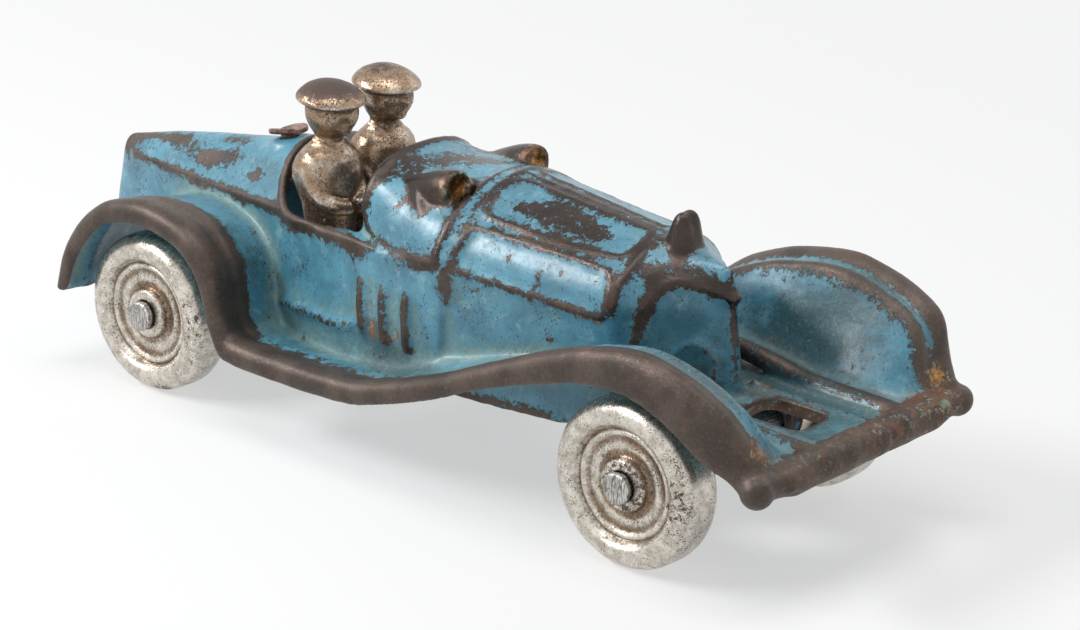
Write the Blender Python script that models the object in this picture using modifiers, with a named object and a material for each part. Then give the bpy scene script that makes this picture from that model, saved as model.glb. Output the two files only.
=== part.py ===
"""Cast iron toy roadster: one hollow body casting, a pair of riders, a rivet, two axles, four wheels.

Lengths are in millimetres in the toy's own axes: X across (its left side is +X), Y rearwards from the
front axle, Z up from axle height. One empty carries every piece, so that the tyres stand on Z = 0.
"""
import bpy
import bmesh
from math import atan2, cos, pi, radians, sin
from mathutils import Matrix, Vector

MM = 0.001
SIDES = (-1, 1)

# Running gear
WHEEL_RADIUS = 14.5
WHEELBASE = 111.3
TYRE_FACE = 28.1            # centre plane to the outermost plane of a tyre
TYRE_WIDTH = 9.2
RING_RADIUS = 9.3           # the groove between tyre and disc
HUB_RADIUS = 4.5
HUB_REACH = 12.6            # tyre's outer plane to the hub's inner end
HUB_SINK = 0.8              # how far the hub's outer end lies inside the tyre's outer plane
AXLE_RADIUS = 2.2
PEEN_RADIUS = 2.8
PEEN_HEIGHT = 1.5
FIT = 0.3                   # clearance of every turning or seated face

# Body shell
WALL = 2.3
HOOD_HALF_WIDTH = 18.0
COWL_HALF_WIDTH = 19.4
COWL_RIM_HALF_WIDTH = 14.2
RADIATOR_HALF_WIDTH = 14.3
NOSE_Y = -1.2
HOOD_FRONT = 14.0
HOOD_REAR = WHEELBASE - 64.8
COWL_REAR = WHEELBASE - 41.3
DECK_FRONT = WHEELBASE - 17.3
STERN_Y = WHEELBASE + 35.7
BELT_FRONT = 22.2
BELT_STERN = 17.9
NOSE_TOP = 29.6
HOOD_TOP = 35.8
COWL_TOP = 35.6
DECK_TOP = 30.8
STERN_TOP = 21.5
SILL = 0.6
NOSE_SILL = 6.2
SIDE_FLARE = 0.9            # how much wider the sides are at the sill than at the belt
NOSE_RAKE = 0.13            # lean of the prow for each millimetre of height
STERN_RAKE = 0.2

# Wings, boards and front apron
WING_HALF_WIDTH = 31.0
WING_WALL = 2.2
WING_FRONT_TAPER = 3.2      # how much narrower the wings are where they meet the bumper
BOARD_UNDERSIDE = -2.2
BOARD_THICKNESS = 4.3
CREST_LIFT = {-1: -0.7, 1: 1.9}    # the old casting's left front wing stands higher
ROLL_CREASE = 1.9           # depth of the crease inside the rolled edge
ROLL_RIDGE = 1.5
APRON_TOP = 8.0
APRON_THICKNESS = 2.4
APRON_HALF_WIDTH = 15.4
APRON_REAR = 13.0
HOLE_WIDTH = 9.4
HOLE_FRONT = -18.0
HOLE_REAR = -5.0
RIB_X = 12.0
RIB_RADIUS = 1.7
BUMPER_Y = -26.8
BUMPER_Z = 6.9
BUMPER_RADIUS = 3.0
BUMPER_HALF_WIDTH = 27.0
KNOB_RADIUS = 2.8
EAR_RADIUS = 4.4            # lugs that carry the axles
EAR_THICKNESS = 3.2

# Details cast on the body
LAMP_X = 10.1
LAMP_Y = HOOD_REAR + 4.9
LAMP_Z = 33.4
LAMP_RADIUS = 3.6
LAMP_LENGTH = 11.5
CAP_Y = 10.2                # the tall filler cap on the radiator
CAP_TOP = 37.4
CAP_RADIUS = 2.3
LOUVRE_YS = (HOOD_REAR + 8.9, HOOD_REAR + 12.9, HOOD_REAR + 16.9)
LOUVRE_TOP = 15.6
LOUVRE_FOOT = 6.4
LOUVRE_RADIUS = 1.3
BEAD_RADIUS = 1.1

# Cockpit, riders and rivet
COCKPIT_HALF_WIDTH = 15.2
COCKPIT_SIDES_END = COWL_REAR + 8.5
COCKPIT_REAR = DECK_FRONT + 1.0
RIDER_X = 7.0
RIDER_Y = COWL_REAR + 14.6
RIDER_TOP = 45.4
SEAT_TOP = 12.0
SEAT_THICKNESS = 2.2
STRAP_HALF_WIDTH = 3.4
STRAP_THICKNESS = 2.0
RIVET_Y = DECK_FRONT + 7.8
RIVET_RADIUS = 1.5
RIVET_HEAD = 3.3
RIVET_LEAF = 0.9
RIVET_BOSS_RADIUS = 4.8
RIVET_BOSS_DEPTH = 3.6
RIVET_PAD = 0.2             # how proud the pad stands in its middle

FRONT_END = BUMPER_Y - KNOB_RADIUS
MIDDLE_Y = (FRONT_END + STERN_Y) / 2
EAR_OUTER = TYRE_FACE - HUB_REACH - FIT


def clear_scene():
    for item in list(bpy.data.objects):
        bpy.data.objects.remove(item, do_unlink=True)


def collection(name, parent=None):
    made = bpy.data.collections.new(name)
    (parent or bpy.context.scene.collection).children.link(made)
    return made


clear_scene()
toy = collection("cast_iron_toy_roadster")
workshop = collection("cutters")
cast_on = collection("cast_on", workshop)
cut_out = collection("cut_out", workshop)
carrier = bpy.data.objects.new("carrier", None)
carrier.location = Vector((0, -MIDDLE_Y, WHEEL_RADIUS)) * MM
toy.objects.link(carrier)


def finish_material(name, colour, roughness, metallic):
    material = bpy.data.materials.new(name)
    material.use_nodes = True
    shader = material.node_tree.nodes["Principled BSDF"]
    shader.inputs["Base Color"].default_value = (*colour, 1)
    shader.inputs["Roughness"].default_value = roughness
    shader.inputs["Metallic"].default_value = metallic
    return material


blue_paint = finish_material("worn_blue_paint", (0.10, 0.33, 0.43), 0.45, 0.0)
nickel = finish_material("old_nickel_plate", (0.62, 0.57, 0.50), 0.32, 1.0)
bright_steel = finish_material("axle_steel", (0.50, 0.50, 0.50), 0.35, 1.0)
brown_iron = finish_material("rivet_iron", (0.22, 0.15, 0.12), 0.6, 0.6)


def place(item, group, material=None, at=(0, 0, 0)):
    """Put an object on the carrier, in millimetres of the toy's axes."""
    group.objects.link(item)
    item.parent = carrier
    item.location = Vector(at) * MM
    if material:
        item.data.materials.append(material)
    if group is not toy:
        item.hide_render = True
        item.display_type = "WIRE"
    return item


def mesh_object(name, form, group, material=None, at=(0, 0, 0), smooth_angle=None):
    """Turn a bmesh drawn in millimetres into a placed object."""
    bmesh.ops.recalc_face_normals(form, faces=form.faces)
    bmesh.ops.scale(form, vec=(MM, MM, MM), verts=form.verts)
    mesh = bpy.data.meshes.new(name)
    form.to_mesh(mesh)
    form.free()
    if smooth_angle:
        mesh.shade_smooth()
        mesh.set_sharp_from_angle(angle=radians(smooth_angle))
    return place(bpy.data.objects.new(name, mesh), group, material, at)


def loft(rings, capped=True):
    """Faces between like rings of points, closed with a cap at each end."""
    form = bmesh.new()
    rows = [[form.verts.new(point) for point in ring] for ring in rings]
    count = len(rings[0])
    for low, high in zip(rows, rows[1:]):
        for i in range(count):
            j = (i + 1) % count
            form.faces.new((low[i], low[j], high[j], high[i]))
    if capped:
        form.faces.new(rows[0])
        form.faces.new(rows[-1])
    return form


def turned(name, profile, steps, group, material=None, at=(0, 0, 0), across=False):
    """Spin a (radius, height) profile, from the top of its outer side down; across lays it along X."""
    form = bmesh.new()
    verts = [form.verts.new((radius, 0, height)) for radius, height in profile]
    for first, second in zip(verts, verts[1:]):
        form.edges.new((first, second))
    if profile[0][0] > 0:
        form.edges.new((verts[-1], verts[0]))
    bmesh.ops.scale(form, vec=(MM, MM, MM), verts=form.verts)
    mesh = bpy.data.meshes.new(name)
    form.to_mesh(mesh)
    form.free()
    item = place(bpy.data.objects.new(name, mesh), group, material, at)
    if across:
        item.rotation_euler = (0, pi / 2, 0)
    screw = item.modifiers.new("turn", "SCREW")
    screw.steps = steps
    screw.render_steps = steps
    screw.use_merge_vertices = True
    screw.merge_threshold = 0.00001
    screw.use_smooth_shade = True
    return item


def tube(name, points, radii, group, resolution=2):
    """A round bar through points, made a closed mesh so that it can be joined or cut."""
    curve = bpy.data.curves.new(name, "CURVE")
    curve.dimensions = "3D"
    curve.bevel_depth = MM
    curve.bevel_resolution = resolution
    curve.use_fill_caps = True
    spline = curve.splines.new("POLY")
    spline.points.add(len(points) - 1)
    for knot, point, radius in zip(spline.points, points, radii):
        knot.co = (*(Vector(point) * MM), 1)
        knot.radius = radius
    draft = bpy.data.objects.new(name + "_line", curve)
    toy.objects.link(draft)
    bpy.context.view_layer.update()
    mesh = bpy.data.meshes.new_from_object(draft.evaluated_get(bpy.context.evaluated_depsgraph_get()))
    bpy.data.objects.remove(draft)
    form = bmesh.new()
    form.from_mesh(mesh)
    bmesh.ops.remove_doubles(form, verts=form.verts, dist=0.000005)
    bmesh.ops.scale(form, vec=(1 / MM, 1 / MM, 1 / MM), verts=form.verts)
    bpy.data.meshes.remove(mesh)
    return mesh_object(name, form, group)


def ball(name, centre, radius, group, segments=14):
    form = bmesh.new()
    bmesh.ops.create_uvsphere(form, u_segments=segments, v_segments=segments // 2, radius=radius)
    bmesh.ops.translate(form, vec=centre, verts=form.verts)
    return mesh_object(name, form, group)


def block(name, low, high, group):
    form = bmesh.new()
    bmesh.ops.create_cube(form, size=1)
    size = [b - a for a, b in zip(low, high)]
    middle = [(a + b) / 2 for a, b in zip(low, high)]
    bmesh.ops.scale(form, vec=size, verts=form.verts)
    bmesh.ops.translate(form, vec=middle, verts=form.verts)
    return mesh_object(name, form, group)


def combine(item, operand, operation, whole_collection=False):
    boolean = item.modifiers.new(operation.lower(), "BOOLEAN")
    boolean.operation = operation
    if whole_collection:
        boolean.operand_type = "COLLECTION"
        boolean.collection = operand
    else:
        boolean.object = operand


def joint_slope(rows, k, c):
    """Slope of column c at row k that keeps the curve from overshooting its rows."""
    if k in (0, len(rows) - 1):
        a, b = (rows[0], rows[1]) if k == 0 else (rows[-2], rows[-1])
        return (b[c] - a[c]) / (b[0] - a[0])
    before = (rows[k][c] - rows[k - 1][c]) / (rows[k][0] - rows[k - 1][0])
    after = (rows[k + 1][c] - rows[k][c]) / (rows[k + 1][0] - rows[k][0])
    return 2 * before * after / (before + after) if before * after > 0 else 0


def smooth(rows, at):
    """Values at one place on smooth curves through rows, each led by its rising position."""
    at = min(max(at, rows[0][0]), rows[-1][0])
    k = max(i for i in range(len(rows) - 1) if rows[i][0] <= at)
    a, b = rows[k], rows[k + 1]
    step = b[0] - a[0]
    t = (at - a[0]) / step
    values = []
    for c in range(1, len(a)):
        start = joint_slope(rows, k, c) * step
        end = joint_slope(rows, k + 1, c) * step
        values.append((2 * t**3 - 3 * t**2 + 1) * a[c] + (t**3 - 2 * t**2 + t) * start
                      + (3 * t**2 - 2 * t**3) * b[c] + (t**3 - t**2) * end)
    return values


def between(start, end, share):
    return start + (end - start) * share


# Cross-sections: place, half width, belt height, crown height, and two powers that square up the
# shoulder and the crown (2 and 2 make an ellipse), then the sill height.
HOOD_SECTIONS = (
    (NOSE_Y, 0.7, BELT_FRONT, NOSE_TOP, 1.9, 1.9, NOSE_SILL),
    (between(NOSE_Y, HOOD_FRONT, 0.5), RADIATOR_HALF_WIDTH * 0.53, BELT_FRONT, NOSE_TOP + 1.6, 1.9, 1.9,
     NOSE_SILL - 0.6),
    (HOOD_FRONT, RADIATOR_HALF_WIDTH, BELT_FRONT, NOSE_TOP + 2.7, 1.9, 1.9, SILL + 2.4),
    (HOOD_FRONT + 10, between(RADIATOR_HALF_WIDTH, HOOD_HALF_WIDTH, 0.4), BELT_FRONT, NOSE_TOP + 3.9,
     1.8, 1.8, SILL + 0.4),
    (HOOD_REAR, HOOD_HALF_WIDTH, BELT_FRONT - 0.4, HOOD_TOP, 1.8, 1.8, SILL),
)
TUB_SECTIONS = (
    (HOOD_REAR + 0.4, COWL_HALF_WIDTH - 0.4, BELT_FRONT - 0.4, BELT_FRONT + 1.6, 2.0, 1.2, SILL),
    (HOOD_REAR + 8, COWL_HALF_WIDTH, BELT_FRONT - 0.2, BELT_FRONT + 1.6, 2.0, 1.2, SILL),
    (COWL_REAR, COWL_HALF_WIDTH - 1.6, BELT_FRONT + 0.2, BELT_FRONT + 1.8, 2.0, 1.2, SILL),
    (COCKPIT_SIDES_END, COWL_HALF_WIDTH - 2.8, BELT_FRONT - 0.6, BELT_FRONT + 2.6, 2.0, 1.2, SILL),
    (between(COCKPIT_SIDES_END, DECK_FRONT, 0.5), COWL_HALF_WIDTH - 4.5, BELT_FRONT - 1.2, DECK_TOP - 2.6,
     2.0, 1.2, SILL),
    (DECK_FRONT, COWL_HALF_WIDTH - 6.5, BELT_STERN + 2.5, DECK_TOP, 2.0, 1.2, SILL),
    (WHEELBASE - 8, 11.0, BELT_STERN + 1.8, DECK_TOP - 1.8, 2.0, 1.2, SILL),
    (WHEELBASE + 12, 7.0, BELT_STERN + 0.6, STERN_TOP + 4.0, 2.0, 1.3, SILL),
    (STERN_Y - 4, 3.0, BELT_STERN, STERN_TOP, 2.0, 1.5, SILL + 1.0),
    (STERN_Y - 1.2, 1.9, BELT_STERN, STERN_TOP - 0.6, 2.0, 2.0, SILL + 1.4),
    (STERN_Y, 0.7, BELT_STERN, STERN_TOP - 1.9, 2.0, 2.0, SILL + 2.0),
)
COWL_FOOT = BELT_FRONT - 3
COWL_SECTIONS = (
    (HOOD_REAR, HOOD_HALF_WIDTH + 0.6, BELT_FRONT, HOOD_TOP + 0.3, 1.8, 1.8, COWL_FOOT),
    (HOOD_REAR + 3, COWL_HALF_WIDTH - 0.4, BELT_FRONT, HOOD_TOP - 0.4, 1.9, 1.9, COWL_FOOT),
    (between(HOOD_REAR, COWL_REAR, 0.6), between(COWL_HALF_WIDTH, COWL_RIM_HALF_WIDTH, 0.4), BELT_FRONT + 0.6,
     HOOD_TOP - 0.9, 2.2, 2.2, COWL_FOOT),
    (COWL_REAR, COWL_RIM_HALF_WIDTH, BELT_FRONT + 1.4, COWL_TOP, 2.8, 2.8, COWL_FOOT),
)
CROWN_STEPS = 7


def lean(y, z):
    """How far the raked prow and stern shift a point along the toy."""
    prow = max(0.0, (HOOD_FRONT - y) / (HOOD_FRONT - NOSE_Y))
    stern = max(0.0, 1 - (STERN_Y - y) / 14)
    return prow * NOSE_RAKE * (z - 18) - stern * STERN_RAKE * (z - 8)


def shell_ring(sections, y, inset=0.0, foot=None):
    """One cross-section of the shell, from one sill over the crown to the other."""
    half, belt, crown, power_x, power_z, sill = smooth(sections, y)
    half -= inset * (1.5 if y < HOOD_FRONT else 1.05)
    crown -= inset
    flare = SIDE_FLARE * min(1, half / HOOD_HALF_WIDTH) if sill < COWL_FOOT else 0.0
    low = sill if foot is None else foot
    side = [(half + flare, low), (half + flare * 0.6, between(belt, low, 0.5))]
    arch = []
    for i in range(CROWN_STEPS + 1):
        angle = pi / 2 * (1 - i / CROWN_STEPS)
        arch.append((half * abs(sin(angle)) ** (2 / power_x),
                     belt + (crown - belt) * abs(cos(angle)) ** (2 / power_z)))
    arch[-1] = (0.0, crown)
    right = side + arch
    left = [(-x, z) for x, z in reversed(right[:-1])]
    return [(x, y + lean(y, z), z) for x, z in right + left]


def places(start, end, gap):
    count = max(2, round((end - start) / gap))
    return [between(start, end, i / count) for i in range(count + 1)]


def outer_sections(y):
    return HOOD_SECTIONS if y <= HOOD_REAR else TUB_SECTIONS


def side_at(y, z):
    """Half width of the shell's outside below the belt."""
    half, belt, _, _, _, sill = smooth(outer_sections(y), y)
    return half + SIDE_FLARE * (belt - z) / (belt - sill)


def crown_at(x, y):
    """Height of the shell's outside above the belt."""
    half, belt, crown, power_x, power_z, _ = smooth(outer_sections(y), y)
    reach = min(1.0, abs(x) / half)
    return belt + (crown - belt) * (1 - reach**power_x) ** (1 / power_z)


NOSE_PLACES = [NOSE_Y, between(NOSE_Y, HOOD_FRONT, 0.5)]
HOOD_PLACES = places(HOOD_FRONT, HOOD_REAR, 8)
TUB_PLACES = [HOOD_REAR + 0.4] + places(HOOD_REAR + 8, STERN_Y - 4, 6) + [STERN_Y - 1.2, STERN_Y]
COWL_PLACES = places(HOOD_REAR, COWL_REAR, 5)


def make_shell():
    rings = [shell_ring(HOOD_SECTIONS, y) for y in NOSE_PLACES + HOOD_PLACES]
    rings += [shell_ring(TUB_SECTIONS, y) for y in TUB_PLACES]
    mesh_object("cowl", loft([shell_ring(COWL_SECTIONS, y) for y in COWL_PLACES]), cast_on)
    return mesh_object("body_casting", loft(rings), toy, blue_paint, smooth_angle=35)


def cut_hollow():
    """The hollow inside the shell, open below, and the hollow inside the cowl above it."""
    below = BOARD_UNDERSIDE - 12
    nose = between(NOSE_Y, HOOD_FRONT, 0.5)
    lengths = (("hood_hollow", HOOD_SECTIONS, [nose] + HOOD_PLACES + [HOOD_REAR + 1], below),
               ("tub_hollow", TUB_SECTIONS, [y for y in TUB_PLACES if y < STERN_Y - 5], below),
               ("cowl_hollow", COWL_SECTIONS, [HOOD_REAR - 2] + COWL_PLACES[1:] + [COWL_REAR + 1],
                COWL_FOOT - 2))
    for name, sections, ys, foot in lengths:
        rings = [[(x, y, z) for x, _, z in shell_ring(sections, y, inset=WALL, foot=foot)] for y in ys]
        mesh_object(name, loft(rings), cut_out)


def cockpit_outline(margin=0.0):
    """Half of the opening's edge seen from above, from its front corner to the middle of its rear."""
    edge = [(COCKPIT_HALF_WIDTH - margin, COWL_REAR)]
    depth = COCKPIT_REAR - COCKPIT_SIDES_END - margin
    steps = 9
    for i in range(steps + 1):
        angle = pi / 2 * i / steps
        x = (COCKPIT_HALF_WIDTH - margin) * cos(angle) ** (2 / 2.6) if i < steps else 0.0
        edge.append((x, COCKPIT_SIDES_END + depth * sin(angle) ** (2 / 2.6)))
    return edge


def cut_cockpit():
    half = cockpit_outline()
    outline = half + [(-x, y) for x, y in reversed(half[:-1])]
    top = COWL_TOP + 8
    mesh_object("cockpit_cut", loft([[(x, y, SEAT_TOP - 3) for x, y in outline],
                                     [(x, y, top) for x, y in outline]]), cut_out)


def add_beads():
    """The rolled rims of the cowl and of the cockpit's rear edge."""
    arch = shell_ring(COWL_SECTIONS, COWL_REAR - BEAD_RADIUS * 0.9)[1:-1]
    tube("cowl_rim", [(x * 0.985, y, z - 0.5) for x, y, z in arch], [BEAD_RADIUS] * len(arch), cast_on, 1)
    half = cockpit_outline(-0.4)[1:]
    line = [(x, y, crown_at(x, y) - 0.2) for x, y in half]
    line += [(-x, y, z) for x, y, z in reversed(line[:-1])]
    tube("cockpit_rim", line, [BEAD_RADIUS] * len(line), cast_on, 1)


def over_wheel(axle_y, angle, radius):
    """A point above a wheel, its angle measured over the top from straight ahead."""
    turn = radians(angle)
    return axle_y - radius * cos(turn), radius * sin(turn)


def wing_rows(side):
    """Stations along a wing: the lower rim, the top of the roll, and the inner edge on the casting."""
    rows = [((BUMPER_Y + 2.0, BUMPER_Z - 2.0), (BUMPER_Y - 0.8, BUMPER_Z + 2.0),
             (13.6, BUMPER_Y + 1.4, APRON_TOP + 0.3)),
            ((BUMPER_Y + 4.6, BUMPER_Z + 0.9), (BUMPER_Y + 2.4, BUMPER_Z + 7.2),
             (13.6, BUMPER_Y + 5.2, APRON_TOP + 0.6))]
    front = ((29, 5.9, 43, 7.8, 13.6, -17.0, 1.0), (57, 3.3, 62, 8.6, 13.6, -10.0, 1.5),
             (85, 2.7, 82, 8.0, 13.6, -2.5, 2.0), (112, 3.3, 104, 6.4, 13.6, 6.0, 3.2),
             (137, 6.2, 128, 4.7, 12.8, 15.0, 4.3))
    for rim_angle, gap, top_angle, rise, x, y, lift in front:
        radius = WHEEL_RADIUS + gap
        crest = radius + rise + CREST_LIFT[side]
        rows.append((over_wheel(0, rim_angle, radius), over_wheel(0, top_angle, crest),
                     (x, y, APRON_TOP + lift)))
    sweep = ((0.252, 11.7, 11.2), (0.350, 6.8, 8.9), (0.453, 2.7, 6.4), (0.527, 0.7, 3.2),
             (0.629, 0.1, 0.5), (0.733, 0.0, 0.1))
    for share, lift, inner_z in sweep:
        y = WHEELBASE * share
        low = BOARD_UNDERSIDE + lift
        rows.append(((y, low), (y, low + BOARD_THICKNESS), (side_at(y, inner_z) - 1.2, y, inner_z)))
    corner = WHEELBASE - 23.2
    rows.append(((corner, BOARD_UNDERSIDE + 0.5), (corner - 1.4, BOARD_UNDERSIDE + BOARD_THICKNESS + 0.4),
                 (side_at(corner, 1.0) - 1.2, corner, 1.0)))
    rear = ((9, 5.6, 12, 3.0, 5.2), (34, 5.8, 34.5, 3.9, 12.6), (57.5, 5.2, 59.5, 4.3, 17.0),
            (83.5, 3.6, 84, 4.2, 18.2), (108, 3.0, 109, 4.0, 16.8), (132.5, 2.3, 133.5, 3.9, 13.2),
            (157.5, 2.2, 158, 3.7, 7.2), (178, 3.1, 178.5, 3.2, 0.8))
    for rim_angle, gap, top_angle, rise, inner_z in rear:
        radius = WHEEL_RADIUS + gap
        top = over_wheel(WHEELBASE, top_angle, radius + rise)
        inner_y = between(WHEELBASE, top[0], 0.92)
        rows.append((over_wheel(WHEELBASE, rim_angle, radius), top,
                     (side_at(inner_y, inner_z) - 1.3, inner_y, inner_z)))
    return [(i, *rim, *top, *inner) for i, (rim, top, inner) in enumerate(rows)]


# The rolled edge from its lower rim to the ridge: step in from the wing's side, share of the roll's
# height, and depth below its top.
ROLL = ((0.5, 0.0, 0.0), (0.0, 0.4, 0.0), (0.7, 0.8, 0.0), (2.6, 1.0, 0.0),
        (4.6, 1.0, 0.5), (6.2, 1.0, ROLL_CREASE), (8.0, 1.0, ROLL_RIDGE))
COVE_STEPS = 3
COVE_POWER = 1.25


def wing_section(side, rows, at):
    rim_y, rim_z, top_y, top_z, inner_x, inner_y, inner_z = smooth(rows, at)
    rim, top = Vector((rim_y, rim_z)), Vector((top_y, top_z))
    inner = Vector((inner_y, inner_z))
    normal = (top - rim).normalized()
    half = WING_HALF_WIDTH - WING_FRONT_TAPER * max(0.0, 1 - at / 3.5) ** 2
    line = []
    for step_in, share, depth in ROLL:
        spot = rim.lerp(top, share) - normal * depth
        line.append((half - step_in, spot))
    ridge_x, ridge = line[-1]
    for i in range(1, COVE_STEPS + 1):
        share = i / COVE_STEPS
        line.append((between(ridge_x, inner_x, share), ridge.lerp(inner, 1 - (1 - share) ** COVE_POWER)))
    return [(side * x, spot.x, spot.y) for x, spot in line]


def add_wing(side, per_row=2):
    rows = wing_rows(side)
    stations = (len(rows) - 1) * per_row
    form = bmesh.new()
    grid = []
    for i in range(stations + 1):
        grid.append([form.verts.new(point) for point in wing_section(side, rows, i / per_row)])
    for low, high in zip(grid, grid[1:]):
        for i in range(len(low) - 1):
            corners = (low[i], low[i + 1], high[i + 1], high[i])
            form.faces.new(corners if side < 0 else corners[::-1])
    bmesh.ops.scale(form, vec=(MM, MM, MM), verts=form.verts)
    mesh = bpy.data.meshes.new("wing")
    form.to_mesh(mesh)
    form.free()
    wing = place(bpy.data.objects.new(f"wing_{'right' if side < 0 else 'left'}", mesh), cast_on)
    shell = wing.modifiers.new("wall", "SOLIDIFY")
    shell.thickness = WING_WALL * MM
    shell.offset = -1
    return wing


def add_apron():
    low = APRON_TOP - APRON_THICKNESS
    block("apron", (-APRON_HALF_WIDTH, BUMPER_Y, low), (APRON_HALF_WIDTH, APRON_REAR, APRON_TOP), cast_on)
    corner = 2.4
    outline = []
    corners = ((1, HOLE_FRONT + corner, 270), (1, HOLE_REAR - corner, 0),
               (-1, HOLE_REAR - corner, 90), (-1, HOLE_FRONT + corner, 180))
    for x_side, y, start in corners:
        x = x_side * (HOLE_WIDTH / 2 - corner)
        for i in range(4):
            angle = radians(start + 30 * i)
            outline.append((x + corner * cos(angle), y + corner * sin(angle)))
    mesh_object("apron_hole", loft([[(x, y, low - 2) for x, y in outline],
                                    [(x, y, APRON_TOP + 2) for x, y in outline]]), cut_out)
    for side in SIDES:
        line = ((BUMPER_Y + 1, 0.9), (-8, 0.9), (2, 2.4), (HOOD_FRONT, 4.2))
        tube(f"rib_{side}", [(side * RIB_X, y, APRON_TOP + lift) for y, lift in line],
             [RIB_RADIUS] * len(line), cast_on)


def add_bumper():
    reach = BUMPER_HALF_WIDTH - KNOB_RADIUS * 0.6
    tube("bumper", [(-reach, BUMPER_Y, BUMPER_Z), (reach, BUMPER_Y, BUMPER_Z)], [BUMPER_RADIUS] * 2,
         cast_on, 2)
    for side in SIDES:
        ball(f"bumper_knob_{side}", (side * BUMPER_HALF_WIDTH, BUMPER_Y, BUMPER_Z), KNOB_RADIUS, cast_on, 12)


def add_ears():
    """Lugs under the apron and the tail that the axles turn in, drilled through."""
    steps = 10
    for name, axle_y, top in (("front", 0, APRON_TOP - 1), ("rear", WHEELBASE, APRON_TOP)):
        outline = [(axle_y - EAR_RADIUS, top), (axle_y + EAR_RADIUS, top)]
        for i in range(steps + 1):
            angle = -pi * i / steps
            outline.append((axle_y + EAR_RADIUS * cos(angle), EAR_RADIUS * sin(angle)))
        inner = EAR_OUTER - EAR_THICKNESS
        if name == "rear":
            inner = side_at(axle_y, 0) - WALL + 0.4
        for side in SIDES:
            rings = [[(side * x, y, z) for y, z in outline] for x in (inner, EAR_OUTER)]
            mesh_object(f"{name}_ear_{side}", loft(rings), cast_on)
        radius = AXLE_RADIUS + FIT
        bore = [(0, TYRE_FACE), (radius, TYRE_FACE), (radius, -TYRE_FACE), (0, -TYRE_FACE)]
        turned(f"{name}_axle_hole", bore, 20, cut_out, at=(0, axle_y, 0), across=True)


def add_lamps():
    """Two teardrop lamps on the cowl, open in front."""
    for side in SIDES:
        rings = []
        for along, share in ((0.0, 0.92), (0.25, 1.0), (0.5, 0.97), (0.72, 0.8), (0.88, 0.55), (1.0, 0.2)):
            y = LAMP_Y + LAMP_LENGTH * along
            z = LAMP_Z + 0.5 * along
            ring = [(side * LAMP_X + LAMP_RADIUS * share * cos(2 * pi * i / 14), y,
                     z + LAMP_RADIUS * share * sin(2 * pi * i / 14)) for i in range(14)]
            rings.append(ring)
        mesh_object(f"lamp_{side}", loft(rings), cast_on)
        ball(f"lamp_bowl_{side}", (side * LAMP_X, LAMP_Y - 0.7, LAMP_Z + 0.4), LAMP_RADIUS * 0.7, cut_out, 12)


def add_cap():
    """The tall filler cap: two rounded fingers side by side, with a groove between them."""
    foot = NOSE_TOP + 0.6
    tall = CAP_TOP - foot
    # height share, sideways share and girth share of a finger from its foot to its tip
    steps = ((-0.25, 1.0, 1.35), (0.0, 1.0, 1.2), (0.5, 0.9, 0.9), (0.82, 0.8, 0.72), (0.93, 0.7, 0.5),
             (1.0, 0.7, 0.2))
    for side in SIDES:
        points = [(side * CAP_RADIUS * 0.42 * aside, CAP_Y, foot + tall * up) for up, aside, _ in steps]
        tube(f"cap_{side}", points, [CAP_RADIUS * girth for _, _, girth in steps], cast_on)


def add_louvres():
    for side in SIDES:
        for i, y in enumerate(LOUVRE_YS):
            top = side_at(y, LOUVRE_TOP)
            foot = side_at(y, LOUVRE_FOOT)
            path = [(top - 1.8, LOUVRE_TOP + 0.6), (top - 0.2, LOUVRE_TOP - 0.6),
                    (foot - 0.2, LOUVRE_FOOT + 0.6), (foot - 1.8, LOUVRE_FOOT - 0.6)]
            tube(f"louvre_{side}_{i}", [(side * x, y, z) for x, z in path], [LOUVRE_RADIUS] * 4, cast_on, 1)


def deck_frame():
    """Place and tilt of the deck at the rivet: local Z is square to the deck's surface."""
    slope = (crown_at(0, RIVET_Y + 2) - crown_at(0, RIVET_Y - 2)) / 4
    tilt = Matrix.Rotation(atan2(slope, 1), 4, "X")
    return Matrix.Translation((0, RIVET_Y, crown_at(0, RIVET_Y))) @ tilt


def stand_on_deck(item):
    frame = deck_frame()
    item.location = frame.translation * MM
    item.rotation_euler = frame.to_euler()
    return item


RIVET_BORE = [(0, 6), (RIVET_RADIUS + FIT, 6), (RIVET_RADIUS + FIT, -9), (0, -9)]


def add_rivet_seat():
    """A round pad on the deck, carried through to a flat boss below it, with the rivet's hole."""
    pad = [(0, RIVET_PAD), (RIVET_BOSS_RADIUS, 0), (RIVET_BOSS_RADIUS, -RIVET_BOSS_DEPTH),
           (0, -RIVET_BOSS_DEPTH)]
    stand_on_deck(turned("rivet_pad", pad, 16, cast_on))
    stand_on_deck(turned("rivet_hole", RIVET_BORE, 12, cut_out))


def make_body():
    body = make_shell()
    for side in SIDES:
        add_wing(side)
    add_apron()
    add_bumper()
    add_ears()
    add_beads()
    add_lamps()
    add_cap()
    add_louvres()
    add_rivet_seat()
    cut_hollow()
    cut_cockpit()
    combine(body, cast_on, "UNION", whole_collection=True)
    combine(body, cut_out, "DIFFERENCE", whole_collection=True)
    return body


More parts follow.
